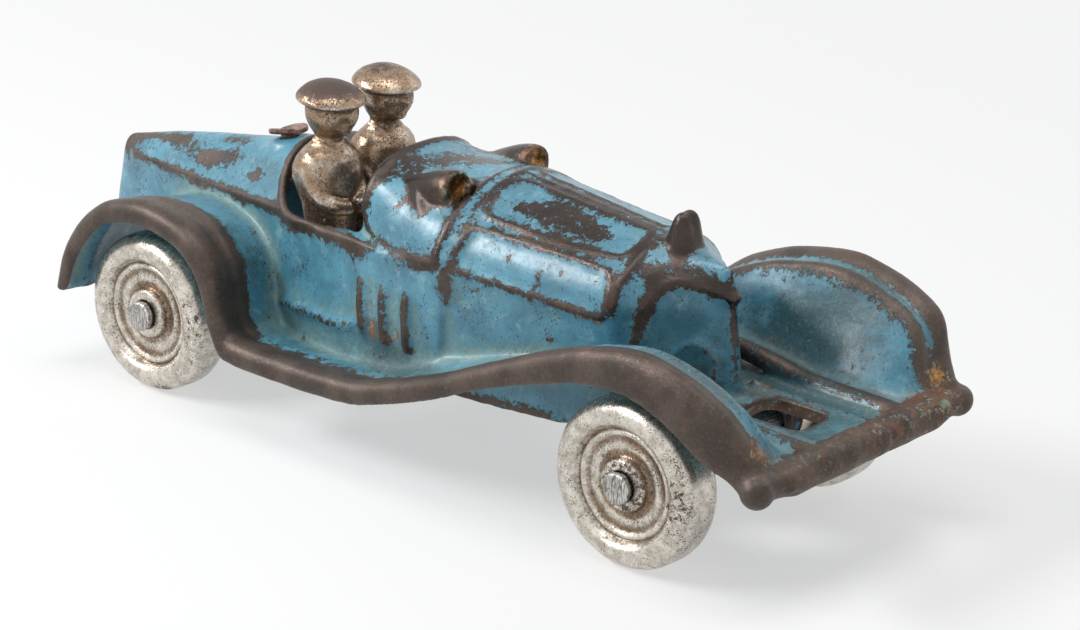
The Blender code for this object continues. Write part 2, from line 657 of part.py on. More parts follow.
# A rider from cap to waist: height below the top of the cap, centre along the toy, half width, half depth.
RIDER = ((0.0, 0.0, 0.5, 0.5), (0.3, 0.0, 2.0, 2.0), (1.0, 0.0, 3.9, 4.0), (2.0, 0.0, 5.4, 5.6),
         (2.9, 0.0, 6.2, 6.4), (3.5, 0.0, 6.2, 6.4), (3.9, 0.0, 5.2, 5.5), (4.6, -0.1, 4.7, 5.0),
         (6.6, -0.2, 4.5, 4.8), (8.4, 0.0, 3.5, 3.9), (9.8, 0.3, 2.3, 2.6), (10.8, 0.4, 2.3, 2.4),
         (11.8, 0.5, 4.0, 3.5), (13.4, 0.7, 6.0, 5.0), (16.0, 0.9, 6.9, 5.8), (19.0, 0.7, 6.2, 5.4),
         (22.0, 0.3, 4.9, 4.9), (28.0, 0.0, 4.6, 4.6))


def rider_rings(side, sides=16):
    rings = []
    levels = [(RIDER_TOP - drop, shift, wide, deep) for drop, shift, wide, deep in RIDER]
    levels.append((SEAT_TOP - 1, 0.0, 4.6, 4.6))
    for z, shift, wide, deep in levels:
        turns = [2 * pi * i / sides for i in range(sides)]
        rings.append([(side * RIDER_X + wide * cos(a), RIDER_Y + shift + deep * sin(a), z) for a in turns])
    return rings


def make_riders():
    """Both riders on one seat plate, with the strap that the rivet holds under the deck."""
    front, rear = COWL_REAR + 5, RIDER_Y + 8
    front_half = side_at(front, SEAT_TOP) - WALL - 2.0
    rear_half = side_at(rear, SEAT_TOP) - WALL - 2.0
    outline = [(-front_half, front), (front_half, front), (rear_half, rear), (-rear_half, rear)]
    pair = mesh_object("driver_and_passenger", loft([[(x, y, SEAT_TOP - SEAT_THICKNESS) for x, y in outline],
                                                     [(x, y, SEAT_TOP) for x, y in outline]]), toy, nickel)
    extras = collection("rider_parts", workshop)
    for side in SIDES:
        mesh_object(f"rider_{side}", loft(rider_rings(side)), extras)
        shoulder = RIDER_TOP - 14.6
        sleeve = [(RIDER_X + 4.2, 1.5, 0), (RIDER_X + 4.6, -2.0, -3.4), (RIDER_X + 2.8, -5.0, -6.2),
                  (RIDER_X - 1, -5.6, -7.6)]
        tube(f"arm_{side}", [(side * x, RIDER_Y + y, shoulder + z) for x, y, z in sleeve],
             [1.9, 2.0, 1.8, 1.4], extras)
    back = RIDER_Y + 1.5
    block("seat_back", (-RIDER_X, back, SEAT_TOP - 1), (RIDER_X, back + 2.2, RIDER_TOP - 16.5), extras)
    lower = deck_frame() @ Vector((0, 4.2, -RIVET_BOSS_DEPTH))
    upper = deck_frame() @ Vector((0, -4.4, -RIVET_BOSS_DEPTH))
    drop = Vector((0, 0, -STRAP_THICKNESS))
    line = [(rear - 2.5, SEAT_TOP - SEAT_THICKNESS + 0.2), (rear, SEAT_TOP - SEAT_THICKNESS + 0.2)]
    low_front = deck_frame() @ (Vector((0, -3.4, -RIVET_BOSS_DEPTH)) + drop)
    low_rear = deck_frame() @ (Vector((0, 4.2, -RIVET_BOSS_DEPTH)) + drop)
    profile = line + [(spot.y, spot.z) for spot in (low_front, low_rear, lower, upper)]
    edges = (-STRAP_HALF_WIDTH, STRAP_HALF_WIDTH)
    mesh_object("strap", loft([[(x, y, z) for y, z in profile] for x in edges]), extras)
    combine(pair, extras, "UNION", whole_collection=True)
    hole = stand_on_deck(turned("strap_hole", RIVET_BORE, 12, workshop))
    combine(pair, hole, "DIFFERENCE")


def make_rivet():
    """Split rivet: a shank through deck and strap, a head below, and two leaves spread on the deck."""
    under = -RIVET_BOSS_DEPTH - STRAP_THICKNESS - 2 * FIT
    above = RIVET_PAD + FIT
    shank = [(0, above + RIVET_LEAF), (RIVET_RADIUS, above + RIVET_LEAF), (RIVET_RADIUS, under),
             (RIVET_HEAD * 0.8, under), (RIVET_HEAD * 0.7, under - 1.2), (0, under - 1.4)]
    rivet = stand_on_deck(turned("deck_rivet", shank, 14, toy, brown_iron))
    leaves = collection("rivet_leaves", workshop)
    for side in SIDES:
        outline = [(side * 0.35, -0.6), (side * 0.5, -RIVET_HEAD * 0.8)]
        for i in range(7):
            angle = radians(-70 + 140 * i / 6)
            outline.append((side * (0.5 + RIVET_HEAD * cos(angle)), RIVET_HEAD * sin(angle)))
        outline += [(side * 0.5, RIVET_HEAD * 0.8), (side * 0.35, 0.6)]
        rise = 0.08
        faces = [[(x, y, z + rise * abs(x)) for x, y in outline] for z in (above, above + RIVET_LEAF)]
        leaf = mesh_object(f"leaf_{side}", loft(faces), leaves)
        stand_on_deck(leaf)
    combine(rivet, leaves, "UNION", whole_collection=True)


def arc(centre, radius, start, end, steps):
    """Points round an arc in a profile, angles in degrees."""
    return [(centre[0] + radius * cos(radians(between(start, end, i / steps))),
             centre[1] + radius * sin(radians(between(start, end, i / steps)))) for i in range(steps + 1)]


def wheel_profile():
    """Radius and height of a wheel's outline, height 0 at the tyre's outer plane and falling inwards."""
    bore = AXLE_RADIUS + FIT
    rounding = 3.2
    profile = [(bore, -HUB_SINK), (HUB_RADIUS - 0.6, -HUB_SINK), (HUB_RADIUS, -HUB_SINK - 0.7),
               (HUB_RADIUS + 0.2, -2.2), (RING_RADIUS - 1.3, -2.3), (RING_RADIUS - 0.8, -1.5),
               (RING_RADIUS, -1.8), (RING_RADIUS + 0.9, -0.4)]
    profile += arc((WHEEL_RADIUS - rounding, -rounding), rounding, 90, 0, 4)
    profile += arc((WHEEL_RADIUS - rounding, -TYRE_WIDTH + rounding), rounding, 0, -90, 3)
    profile += [(RING_RADIUS, -TYRE_WIDTH), (RING_RADIUS - 1, -TYRE_WIDTH + 2.4),
                (HUB_RADIUS, -TYRE_WIDTH + 2.8), (HUB_RADIUS - 0.2, -HUB_REACH), (bore, -HUB_REACH)]
    return profile


def make_running_gear():
    for end, axle_y in (("front", 0), ("rear", WHEELBASE)):
        tip = TYRE_FACE - HUB_SINK + FIT
        rod = [(0, tip + PEEN_HEIGHT), (PEEN_RADIUS - 0.4, tip + PEEN_HEIGHT),
               (PEEN_RADIUS, tip + PEEN_HEIGHT - 0.5), (PEEN_RADIUS, tip), (AXLE_RADIUS, tip)]
        rod += [(radius, -height) for radius, height in reversed(rod)]
        turned(f"{end}_axle", rod, 16, toy, bright_steel, at=(0, axle_y, 0), across=True)
        for side, hand in ((-1, "right"), (1, "left")):
            wheel = turned(f"{end}_{hand}_wheel", wheel_profile(), 28, toy, nickel,
                           at=(side * TYRE_FACE, axle_y, 0), across=True)
            if side < 0:
                wheel.rotation_euler = (0, -pi / 2, 0)


make_body()
make_riders()
make_rivet()
make_running_gear()
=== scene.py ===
"""Cast iron toy roadster, about seven inches long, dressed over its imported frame."""
from math import atan2, cos, pi, radians, sin

import bmesh
import bpy
import numpy as np
from mathutils import Matrix, Vector, noise
from mathutils.bvhtree import BVHTree
from mathutils.kdtree import KDTree


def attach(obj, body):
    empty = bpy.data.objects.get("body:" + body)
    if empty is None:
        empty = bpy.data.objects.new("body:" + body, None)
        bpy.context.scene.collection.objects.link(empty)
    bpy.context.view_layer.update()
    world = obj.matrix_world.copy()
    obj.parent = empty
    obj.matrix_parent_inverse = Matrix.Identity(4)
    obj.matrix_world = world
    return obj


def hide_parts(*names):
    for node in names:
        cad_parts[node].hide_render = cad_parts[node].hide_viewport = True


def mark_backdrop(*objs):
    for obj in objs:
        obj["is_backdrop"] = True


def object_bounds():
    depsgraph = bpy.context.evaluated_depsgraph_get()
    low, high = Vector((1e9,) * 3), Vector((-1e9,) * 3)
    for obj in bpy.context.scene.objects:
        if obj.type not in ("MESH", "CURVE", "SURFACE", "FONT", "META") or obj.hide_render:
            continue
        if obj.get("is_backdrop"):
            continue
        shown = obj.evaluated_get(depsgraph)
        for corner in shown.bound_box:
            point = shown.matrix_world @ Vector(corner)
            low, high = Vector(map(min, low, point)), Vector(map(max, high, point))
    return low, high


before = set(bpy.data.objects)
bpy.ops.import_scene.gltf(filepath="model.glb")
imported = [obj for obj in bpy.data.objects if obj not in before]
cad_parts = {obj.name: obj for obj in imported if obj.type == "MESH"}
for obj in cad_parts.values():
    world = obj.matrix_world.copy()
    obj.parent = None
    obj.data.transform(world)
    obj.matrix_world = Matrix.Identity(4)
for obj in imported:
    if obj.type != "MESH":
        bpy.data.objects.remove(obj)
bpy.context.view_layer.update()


# The hull: hood, tub and tail of the one hollow iron casting. It was cast in sand as a thin shell, open
# below, with a prow like a boat's and a tail that narrows to an upright edge. Lengths are millimetres in
# the toy's own axes: X across, Y rearwards from the front axle, Z up from axle height.
MM = 0.001
WHEEL_RADIUS = 14.5
WHEELBASE = 111.3
MIDDLE_Y = 58.7
SIDES = (-1, 1)
WALL = 2.3
PROW_SLANT = 1.5            # width across the toy of a wall one unit thick, at the prow
SIDE_SLANT = 1.05           # and at the sides
HOOD_HALF_WIDTH = 18.0
COWL_HALF_WIDTH = 19.4
COWL_RIM_HALF_WIDTH = 14.2
RADIATOR_HALF_WIDTH = 14.3
NOSE_Y = -1.2
HOOD_FRONT = 14.0
HOOD_REAR = 46.5
COWL_REAR = 70.0
DECK_FRONT = WHEELBASE - 17.3
STERN_Y = WHEELBASE + 35.7
COCKPIT_SIDES_END = COWL_REAR + 8.5
BELT_FRONT = 22.2
BELT_STERN = 17.9
NOSE_TOP = 29.6
HOOD_TOP = 35.8
COWL_TOP = 35.6
DECK_TOP = 30.8
STERN_TOP = 21.5
SILL = 0.6
NOSE_SILL = 6.2
COWL_FOOT = BELT_FRONT - 3
SIDE_FLARE = 0.9
NOSE_RAKE = 0.13
STERN_RAKE = 0.2
STERN_REACH = 14            # length of the tail that leans with the stern
PROW_HINGE = 18             # heights at which prow and stern stay where they are
STERN_HINGE = 8
BOARD_UNDERSIDE = -2.2


def between(start, end, share):
    """The value a share of the way from start to end."""
    return start + (end - start) * share


# place, half width, belt, crown, powers of shoulder and crown, sill
HOOD_SECTIONS = (
    (NOSE_Y, 0.7, BELT_FRONT, NOSE_TOP, 1.9, 1.9, NOSE_SILL),
    (between(NOSE_Y, HOOD_FRONT, 0.5), RADIATOR_HALF_WIDTH * 0.53, BELT_FRONT, NOSE_TOP + 1.6, 1.9, 1.9,
     NOSE_SILL - 0.6),
    (HOOD_FRONT, RADIATOR_HALF_WIDTH, BELT_FRONT, NOSE_TOP + 2.7, 1.9, 1.9, SILL + 2.4),
    (HOOD_FRONT + 10, between(RADIATOR_HALF_WIDTH, HOOD_HALF_WIDTH, 0.4), BELT_FRONT, NOSE_TOP + 3.9,
     1.8, 1.8, SILL + 0.4),
    (HOOD_REAR, HOOD_HALF_WIDTH, BELT_FRONT - 0.4, HOOD_TOP, 1.8, 1.8, SILL),
)
TUB_SECTIONS = (
    (HOOD_REAR + 0.4, COWL_HALF_WIDTH - 0.4, BELT_FRONT - 0.4, BELT_FRONT + 1.6, 2.0, 1.2, SILL),
    (HOOD_REAR + 8, COWL_HALF_WIDTH, BELT_FRONT - 0.2, BELT_FRONT + 1.6, 2.0, 1.2, SILL),
    (COWL_REAR, COWL_HALF_WIDTH - 1.6, BELT_FRONT + 0.2, BELT_FRONT + 1.8, 2.0, 1.2, SILL),
    (COCKPIT_SIDES_END, COWL_HALF_WIDTH - 2.8, BELT_FRONT - 0.6, BELT_FRONT + 2.6, 2.0, 1.2, SILL),
    (between(COCKPIT_SIDES_END, DECK_FRONT, 0.5), COWL_HALF_WIDTH - 4.5, BELT_FRONT - 1.2, DECK_TOP - 2.6,
     2.0, 1.2, SILL),
    (DECK_FRONT, COWL_HALF_WIDTH - 6.5, BELT_STERN + 2.5, DECK_TOP, 2.0, 1.2, SILL),
    (WHEELBASE - 8, 11.0, BELT_STERN + 1.8, DECK_TOP - 1.8, 2.0, 1.2, SILL),
    (WHEELBASE + 12, 7.0, BELT_STERN + 0.6, STERN_TOP + 4.0, 2.0, 1.3, SILL),
    (STERN_Y - 4, 3.0, BELT_STERN, STERN_TOP, 2.0, 1.5, SILL + 1.0),
    (STERN_Y - 1.2, 1.9, BELT_STERN, STERN_TOP - 0.6, 2.0, 2.0, SILL + 1.4),
    (STERN_Y, 0.7, BELT_STERN, STERN_TOP - 1.9, 2.0, 2.0, SILL + 2.0),
)
COWL_SECTIONS = (
    (HOOD_REAR, HOOD_HALF_WIDTH + 0.6, BELT_FRONT, HOOD_TOP + 0.3, 1.8, 1.8, COWL_FOOT),
    (HOOD_REAR + 3, COWL_HALF_WIDTH - 0.4, BELT_FRONT, HOOD_TOP - 0.4, 1.9, 1.9, COWL_FOOT),
    (between(HOOD_REAR, COWL_REAR, 0.6), between(COWL_HALF_WIDTH, COWL_RIM_HALF_WIDTH, 0.4), BELT_FRONT + 0.6,
     HOOD_TOP - 0.9, 2.2, 2.2, COWL_FOOT),
    (COWL_REAR, COWL_RIM_HALF_WIDTH, BELT_FRONT + 1.4, COWL_TOP, 2.8, 2.8, COWL_FOOT),
)


def joint_slope(rows, k, c):
    """Slope of column c at row k that keeps the curve from overshooting its rows."""
    if k in (0, len(rows) - 1):
        a, b = (rows[0], rows[1]) if k == 0 else (rows[-2], rows[-1])
        return (b[c] - a[c]) / (b[0] - a[0])
    before = (rows[k][c] - rows[k - 1][c]) / (rows[k][0] - rows[k - 1][0])
    after = (rows[k + 1][c] - rows[k][c]) / (rows[k + 1][0] - rows[k][0])
    return 2 * before * after / (before + after) if before * after > 0 else 0


def smooth(rows, at):
    """Values at one place on smooth curves through rows, each led by its rising position."""
    at = min(max(at, rows[0][0]), rows[-1][0])
    k = max(i for i in range(len(rows) - 1) if rows[i][0] <= at)
    a, b = rows[k], rows[k + 1]
    step = b[0] - a[0]
    t = (at - a[0]) / step
    values = []
    for c in range(1, len(a)):
        start = joint_slope(rows, k, c) * step
        end = joint_slope(rows, k + 1, c) * step
        values.append((2 * t**3 - 3 * t**2 + 1) * a[c] + (t**3 - 2 * t**2 + t) * start
                      + (3 * t**2 - 2 * t**3) * b[c] + (t**3 - t**2) * end)
    return values


def lean(y, z):
    """How far the raked prow and stern shift a point along the toy."""
    prow = max(0.0, (HOOD_FRONT - y) / (HOOD_FRONT - NOSE_Y))
    stern = max(0.0, 1 - (STERN_Y - y) / STERN_REACH)
    return prow * NOSE_RAKE * (z - PROW_HINGE) - stern * STERN_RAKE * (z - STERN_HINGE)


def arch_point(half, belt, crown, power_x, power_z, share):
    """(x, z) on the arch over the belt, a share of the way round to the crown."""
    angle = pi / 2 * (1 - share)
    return half * abs(sin(angle)) ** (2 / power_x), belt + (crown - belt) * abs(cos(angle)) ** (2 / power_z)


def both_sides(half):
    """Points of one side as far as the middle, and then back along the other side."""
    return half + [(-point[0], *point[1:]) for point in reversed(half[:-1])]


def hull_ring(sections, y, inset=0.0, foot=None, arch_steps=22, side_steps=8):
    """One cross-section of the shell, from one sill over the crown to the other."""
    half, belt, crown, power_x, power_z, sill = smooth(sections, y)
    half -= inset * (PROW_SLANT if y < HOOD_FRONT else SIDE_SLANT)
    crown -= inset
    flare = SIDE_FLARE * min(1, half / HOOD_HALF_WIDTH) if sill < COWL_FOOT else 0.0
    low = sill if foot is None else foot
    right = [(half + flare * (1 - i / side_steps), between(low, belt, i / side_steps))
             for i in range(side_steps)]
    right += [arch_point(half, belt, crown, power_x, power_z, i / arch_steps) for i in range(arch_steps + 1)]
    right[-1] = (0.0, crown)
    return [(x, y + lean(y, z), z) for x, z in both_sides(right)]


def places(start, end, gap):
    """Places from start to end, at even steps of about gap."""
    count = max(2, round((end - start) / gap))
    return [between(start, end, i / count) for i in range(count + 1)]


def loft(rings):
    """Vertices and faces of a closed solid through like rings of points."""
    count = len(rings[0])
    points = [point for ring in rings for point in ring]
    faces = []
    for k in range(len(rings) - 1):
        for i in range(count):
            j = (i + 1) % count
            faces.append((k * count + i, k * count + j, (k + 1) * count + j, (k + 1) * count + i))
    faces.append(tuple(range(count)))
    faces.append(tuple(range((len(rings) - 1) * count, len(rings) * count)))
    return points, faces


def outer_sections(y):
    """The sections that give the shell's outside at a place."""
    return HOOD_SECTIONS if y <= HOOD_REAR else TUB_SECTIONS


def side_at(y, z):
    """Half width of the shell's outside below the belt."""
    half, belt, _, _, _, sill = smooth(outer_sections(y), y)
    return half + SIDE_FLARE * (belt - z) / (belt - sill)


def crown_at(x, y):
    """Height of the shell's outside above the belt."""
    half, belt, crown, power_x, power_z, _ = smooth(outer_sections(y), y)
    reach = min(1.0, abs(x) / half)
    return belt + (crown - belt) * (1 - reach**power_x) ** (1 / power_z)


casting = []        # the solids that the mould joined into one, each with its wear from 0 to 1


def cast(form, wear=0.0):
    """Adds a form to the casting, with one wear or a list with one for each face."""
    casting.append((*form, wear))


hull_ys = places(NOSE_Y, HOOD_FRONT, 0.8) + places(HOOD_FRONT, HOOD_REAR, 1.6)[1:]
tub_ys = places(HOOD_REAR + 0.4, STERN_Y - 4, 1.6) + places(STERN_Y - 4, STERN_Y, 0.5)[1:]
cast(loft([hull_ring(HOOD_SECTIONS, y) for y in hull_ys] + [hull_ring(TUB_SECTIONS, y) for y in tub_ys]))
cast(loft([hull_ring(COWL_SECTIONS, y) for y in places(HOOD_REAR, COWL_REAR, 1.2)]))


# Round bars and rolled edges of the casting: the rims of cowl and cockpit, and the raised frames round
# the panels of the hood. On the real toy they are ridges cut into the pattern, worn bright along the top.
RIDGE = 0.82


def round_turns(sides):
    """The angles of the points of a round outline."""
    return [2 * pi * i / sides for i in range(sides)]


def tube(points, radii, sides=10):
    """Vertices and faces of a closed round bar through points."""
    points = [Vector(p) for p in points]
    rings = []
    up = None
    for i, point in enumerate(points):
        ahead = (points[min(i + 1, len(points) - 1)] - points[max(i - 1, 0)]).normalized()
        if up is None:
            up = Vector((0, 0, 1)) if abs(ahead.z) < 0.9 else Vector((1, 0, 0))
        across = ahead.cross(up).normalized()
        up = across.cross(ahead).normalized()
        rings.append([tuple(point + (across * cos(a) + up * sin(a)) * radii[i]) for a in round_turns(sides)])
    return loft(rings)


def bead(line, girth, wear, sides=10):
    """Casts an even round bar along a line."""
    cast(tube(line, [girth] * len(line), sides), wear)


def drawn(points, gap=0.8):
    """A smooth line through points, at even steps."""
    points = [Vector(p) for p in points]
    padded = [points[0] * 2 - points[1]] + points + [points[-1] * 2 - points[-2]]
    line = []
    for a, b, c, d in zip(padded, padded[1:], padded[2:], padded[3:]):
        steps = max(1, round((c - b).length / gap))
        for i in range(steps):
            t = i / steps
            line.append(0.5 * (2 * b + (c - a) * t + (2 * a - 5 * b + 4 * c - d) * t**2
                               + (3 * b - a - 3 * c + d) * t**3))
    return line + [points[-1]]


def arch_x(sections, y, z):
    """Half width of hood or cowl at a height over the belt."""
    half, belt, crown, power_x, power_z, _ = smooth(sections, y)
    rise = min(1.0, max(0.0, (z - belt) / (crown - belt)))
    return half * (1 - rise**power_z) ** (1 / power_x)


def hood_x(y, z):
    """Half width of the hood's outside at any height."""
    belt = smooth(HOOD_SECTIONS, y)[1]
    return side_at(y, z) if z <= belt else arch_x(HOOD_SECTIONS, y, z)


def hood_line(knots, side, sink=0.24):
    """A line on the hood through (place, height) knots. A third value is its distance from the middle."""
    line = []
    for knot in knots:
        y = knot[0]
        x, z = (hood_x(y, knot[1]), knot[1]) if len(knot) == 2 else (knot[2], crown_at(knot[2], y))
        line.append((side * (x - sink), y + lean(y, z), z - sink * 0.6))
    return drawn(line)


def arch_knots(y, low, count=12):
    """Knots for hood_line up one side of the hood and over to its middle."""
    half, belt, crown, power_x, power_z, _ = smooth(HOOD_SECTIONS, y)
    knots = [(y, z) for z in places(low, belt, 3.0)[:-1]]
    for i in range(count + 1):
        x, z = arch_point(half, belt, crown, power_x, power_z, i / count)
        knots.append((y, z, x))
    return knots


for side in SIDES:
    for knots in (
            # frame of the side panel, closed round its four corners
            [(44.0, 29.6), (35.0, 29.2), (26.0, 28.8), (17.4, 28.3), (15.7, 27.6), (15.2, 26.0), (14.9, 23.4),
             (15.4, 21.8), (17.0, 21.5), (24.0, 21.9), (32.0, 22.3), (42.6, 22.8), (44.9, 23.4), (45.3, 25.0),
             (45.1, 27.8), (44.0, 29.6)],
            # frame of the top panel
            [(43.4, 0, 11.9), (34.0, 0, 11.5), (25.0, 0, 10.7), (17.2, 0, 9.6), (15.6, 0, 8.3),
             (15.3, 0, 5.0), (15.8, 0, 2.6), (17.0, 0, 1.9), (26.0, 0, 2.1), (35.0, 0, 2.3),
             (43.0, 0, 2.5), (44.2, 0, 3.4), (44.6, 0, 6.0), (44.5, 0, 9.2), (43.4, 0, 11.9)]):
        bead(hood_line(knots, side), RIDGE, 0.62)
    for y, low, girth in ((HOOD_REAR - 0.6, 15.0, 0.8), (HOOD_FRONT - 0.3, 20.5, 0.75)):
        line = hood_line(arch_knots(y, low), side, 0.2)
        cast(tube(line, [girth * min(1, 0.3 + i / 6) for i in range(len(line))]), 0.66)
spine = [(HOOD_FRONT - 0.3, 0, 0.0), (24, 0, 0.0), (35, 0, 0.0), (HOOD_REAR - 0.6, 0, 0.0)]
bead(hood_line(spine, 1, 0.1), 0.7, 0.6)

# ridge along the front and foot of the cowl, and its rolled rim towards the cockpit
for side in SIDES:
    front = []
    half, belt, crown, power_x, power_z, _ = smooth(COWL_SECTIONS, HOOD_REAR + 2.6)
    for i in range(15):
        x, z = arch_point(half, belt, crown, power_x, power_z, i / 14)
        front.append((side * x * 0.99, HOOD_REAR + 2.2, z - 0.15))
    foot = [(side * (arch_x(COWL_SECTIONS, y, z) - 0.1), y, z) for y, z in (
        (68.9, 26.5), (68.0, 24.9), (66.0, 24.0), (62.5, 23.3), (58.0, 22.9), (53.0, 22.8), (50.2, 23.0))]
    bead(drawn(foot + front[1:]), 0.7, 0.72)
rim = hull_ring(COWL_SECTIONS, COWL_REAR - 1.0)[8:-8]
bead(drawn([(x * 0.985, y, z - 0.5) for x, y, z in rim[::3]]), 1.15, 0.9)

COCKPIT_HALF_WIDTH = 15.2
COCKPIT_REAR = DECK_FRONT + 1.0
COCKPIT_POWER = 2.6


def cockpit_outline(margin=0.0, steps=22):
    """Half of the opening's edge seen from above, from its front corner to the middle of its rear."""
    edge = [(COCKPIT_HALF_WIDTH - margin, COWL_REAR)]
    depth = COCKPIT_REAR - COCKPIT_SIDES_END - margin
    for i in range(steps + 1):
        angle = pi / 2 * i / steps
        x = (COCKPIT_HALF_WIDTH - margin) * cos(angle) ** (2 / COCKPIT_POWER) if i < steps else 0.0
        edge.append((x, COCKPIT_SIDES_END + depth * sin(angle) ** (2 / COCKPIT_POWER)))
    return edge


line = drawn(both_sides([(x, y, crown_at(x, y) - 0.2) for x, y in cockpit_outline(-0.4)[1:]]))
cast(tube(line, [0.3 + 0.7 * min(1, i / 9, (len(line) - 1 - i) / 9) for i in range(len(line))]), 0.75)


# The wings and running boards: two long ribbons of the casting, each with a thick rolled outer edge, a
# crease and a ridge inside it, and a hollow cove that runs down to the body.
WING_HALF_WIDTH = 31.0
WING_WALL = 2.2
WING_FRONT_TAPER = 3.2
BOARD_THICKNESS = 4.3
CREST_LIFT = {-1: -0.7, 1: 1.9}
APRON_TOP = 8.0
BUMPER_Y = -26.8
BUMPER_Z = 6.9


def over_wheel(axle_y, angle, radius):
    """A point above a wheel, its angle measured over the top from straight ahead."""
    turn = radians(angle)
    return axle_y - radius * cos(turn), radius * sin(turn)


def wing_rows(side):
    """Stations along a wing: the lower rim, the top of the roll, and the inner edge on the casting."""
    rows = [((BUMPER_Y + 2.0, BUMPER_Z - 2.0), (BUMPER_Y - 0.8, BUMPER_Z + 2.0),
             (13.6, BUMPER_Y + 1.4, APRON_TOP + 0.3)),
            ((BUMPER_Y + 4.6, BUMPER_Z + 0.9), (BUMPER_Y + 2.4, BUMPER_Z + 7.2),
             (13.6, BUMPER_Y + 5.2, APRON_TOP + 0.6))]
    front = ((29, 5.9, 43, 7.8, 13.6, -17.0, 1.0), (57, 3.3, 62, 8.6, 13.6, -10.0, 1.5),
             (85, 2.7, 82, 8.0, 13.6, -2.5, 2.0), (112, 3.3, 104, 6.4, 13.6, 6.0, 3.2),
             (137, 6.2, 128, 4.7, 12.8, 15.0, 4.3))
    for rim_angle, gap, top_angle, rise, x, y, lift in front:
        radius = WHEEL_RADIUS + gap
        crest = radius + rise + CREST_LIFT[side]
        rows.append((over_wheel(0, rim_angle, radius), over_wheel(0, top_angle, crest),
                     (x, y, APRON_TOP + lift)))
    sweep = ((0.252, 11.7, 11.2), (0.350, 6.8, 8.9), (0.453, 2.7, 6.4), (0.527, 0.7, 3.2),
             (0.629, 0.1, 0.5), (0.733, 0.0, 0.1))
    for share, lift, inner_z in sweep:
        y = WHEELBASE * share
        low = BOARD_UNDERSIDE + lift
        rows.append(((y, low), (y, low + BOARD_THICKNESS), (side_at(y, inner_z) - 1.2, y, inner_z)))
    corner = WHEELBASE - 23.2
    rows.append(((corner, BOARD_UNDERSIDE + 0.5), (corner - 1.4, BOARD_UNDERSIDE + BOARD_THICKNESS + 0.4),
                 (side_at(corner, 1.0) - 1.2, corner, 1.0)))
    rear = ((9, 5.6, 12, 3.0, 5.2), (34, 5.8, 34.5, 3.9, 12.6), (57.5, 5.2, 59.5, 4.3, 17.0),
            (83.5, 3.6, 84, 4.2, 18.2), (108, 3.0, 109, 4.0, 16.8), (132.5, 2.3, 133.5, 3.9, 13.2),
            (157.5, 2.2, 158, 3.7, 7.2), (178, 3.1, 178.5, 3.2, 0.8))
    for rim_angle, gap, top_angle, rise, inner_z in rear:
        radius = WHEEL_RADIUS + gap
        top = over_wheel(WHEELBASE, top_angle, radius + rise)
        inner_y = between(WHEELBASE, top[0], 0.92)
        rows.append((over_wheel(WHEELBASE, rim_angle, radius), top,
                     (side_at(inner_y, inner_z) - 1.3, inner_y, inner_z)))
    return [(i, *rim, *top, *inner) for i, (rim, top, inner) in enumerate(rows)]


# the roll's outline from its lower rim to the ridge: step in from the side, share of its height, and depth
# below its top
ROLL = ((0.9, 0.0, 0.3), (0.45, 0.04, 0.0), (0.12, 0.16, 0.0), (0.0, 0.36, 0.0), (0.1, 0.56, 0.0),
        (0.4, 0.74, 0.0), (0.95, 0.88, 0.0), (1.7, 0.97, 0.0), (2.6, 1.0, 0.0), (3.6, 1.0, 0.16),
        (4.5, 1.0, 0.5), (5.3, 1.0, 1.15), (5.9, 1.0, 1.75), (6.4, 1.0, 1.95), (7.0, 1.0, 1.7),
        (7.6, 1.0, 1.3), (8.2, 1.0, 1.25), (8.9, 1.0, 1.6))
COVE_STEPS = 12
COVE_POWER = 1.25
PER_ROW = 6


def wing_section(side, rows, at):
    """One cross-section of a wing, from its lower rim over the roll to the body."""
    rim_y, rim_z, top_y, top_z, inner_x, inner_y, inner_z = smooth(rows, at)
    rim, top = Vector((rim_y, rim_z)), Vector((top_y, top_z))
    inner = Vector((inner_y, inner_z))
    normal = (top - rim).normalized()
    half = WING_HALF_WIDTH - WING_FRONT_TAPER * max(0.0, 1 - at / 3.5) ** 2
    crease = 1 - 0.4 * min(1.0, max(0.0, (at - 5) / 4))
    line = []
    for step_in, share, depth in ROLL:
        line.append((half - step_in, rim.lerp(top, share) - normal * depth * crease))
    ridge_x, ridge = line[-1]
    for i in range(1, COVE_STEPS + 1):
        share = i / COVE_STEPS
        line.append((between(ridge_x, inner_x, share), ridge.lerp(inner, 1 - (1 - share) ** COVE_POWER)))
    return [(side * x, spot.x, spot.y) for x, spot in line]


def thick_sheet(rows, wall):
    """Vertices and faces of a sheet of points given a wall below it, on the side its faces turn from."""
    width = len(rows[0])
    grid = np.array(rows)
    along = np.gradient(grid, axis=0)
    across = np.gradient(grid, axis=1)
    normal = np.cross(along, across)
    normal /= np.linalg.norm(normal, axis=2, keepdims=True)
    for _ in range(6):                  # an even wall under the tight bends of the roll
        normal[:, 1:-1] = (normal[:, :-2] + 2 * normal[:, 1:-1] + normal[:, 2:]) / 4
        normal /= np.linalg.norm(normal, axis=2, keepdims=True)
    points = [tuple(p) for face in (grid, grid - normal * wall) for p in face.reshape(-1, 3)]
    count = len(rows) * width
    faces = []
    for k in range(len(rows) - 1):
        for i in range(width - 1):
            a, b = k * width + i, k * width + i + 1
            faces.append((a, b, b + width, a + width))
            faces.append((count + a, count + a + width, count + b + width, count + b))
    for k in range(len(rows) - 1):
        a = k * width
        faces.append((a, a + width, count + a + width, count + a))
        a += width - 1
        faces.append((a + width, a, count + a, count + a + width))
    for i in range(width - 1):
        faces.append((i + 1, i, count + i, count + i + 1))
        a = count - width + i
        faces.append((a, a + 1, count + a + 1, count + a))
    return points, faces


UNDERSIDE_WEAR = 0.2
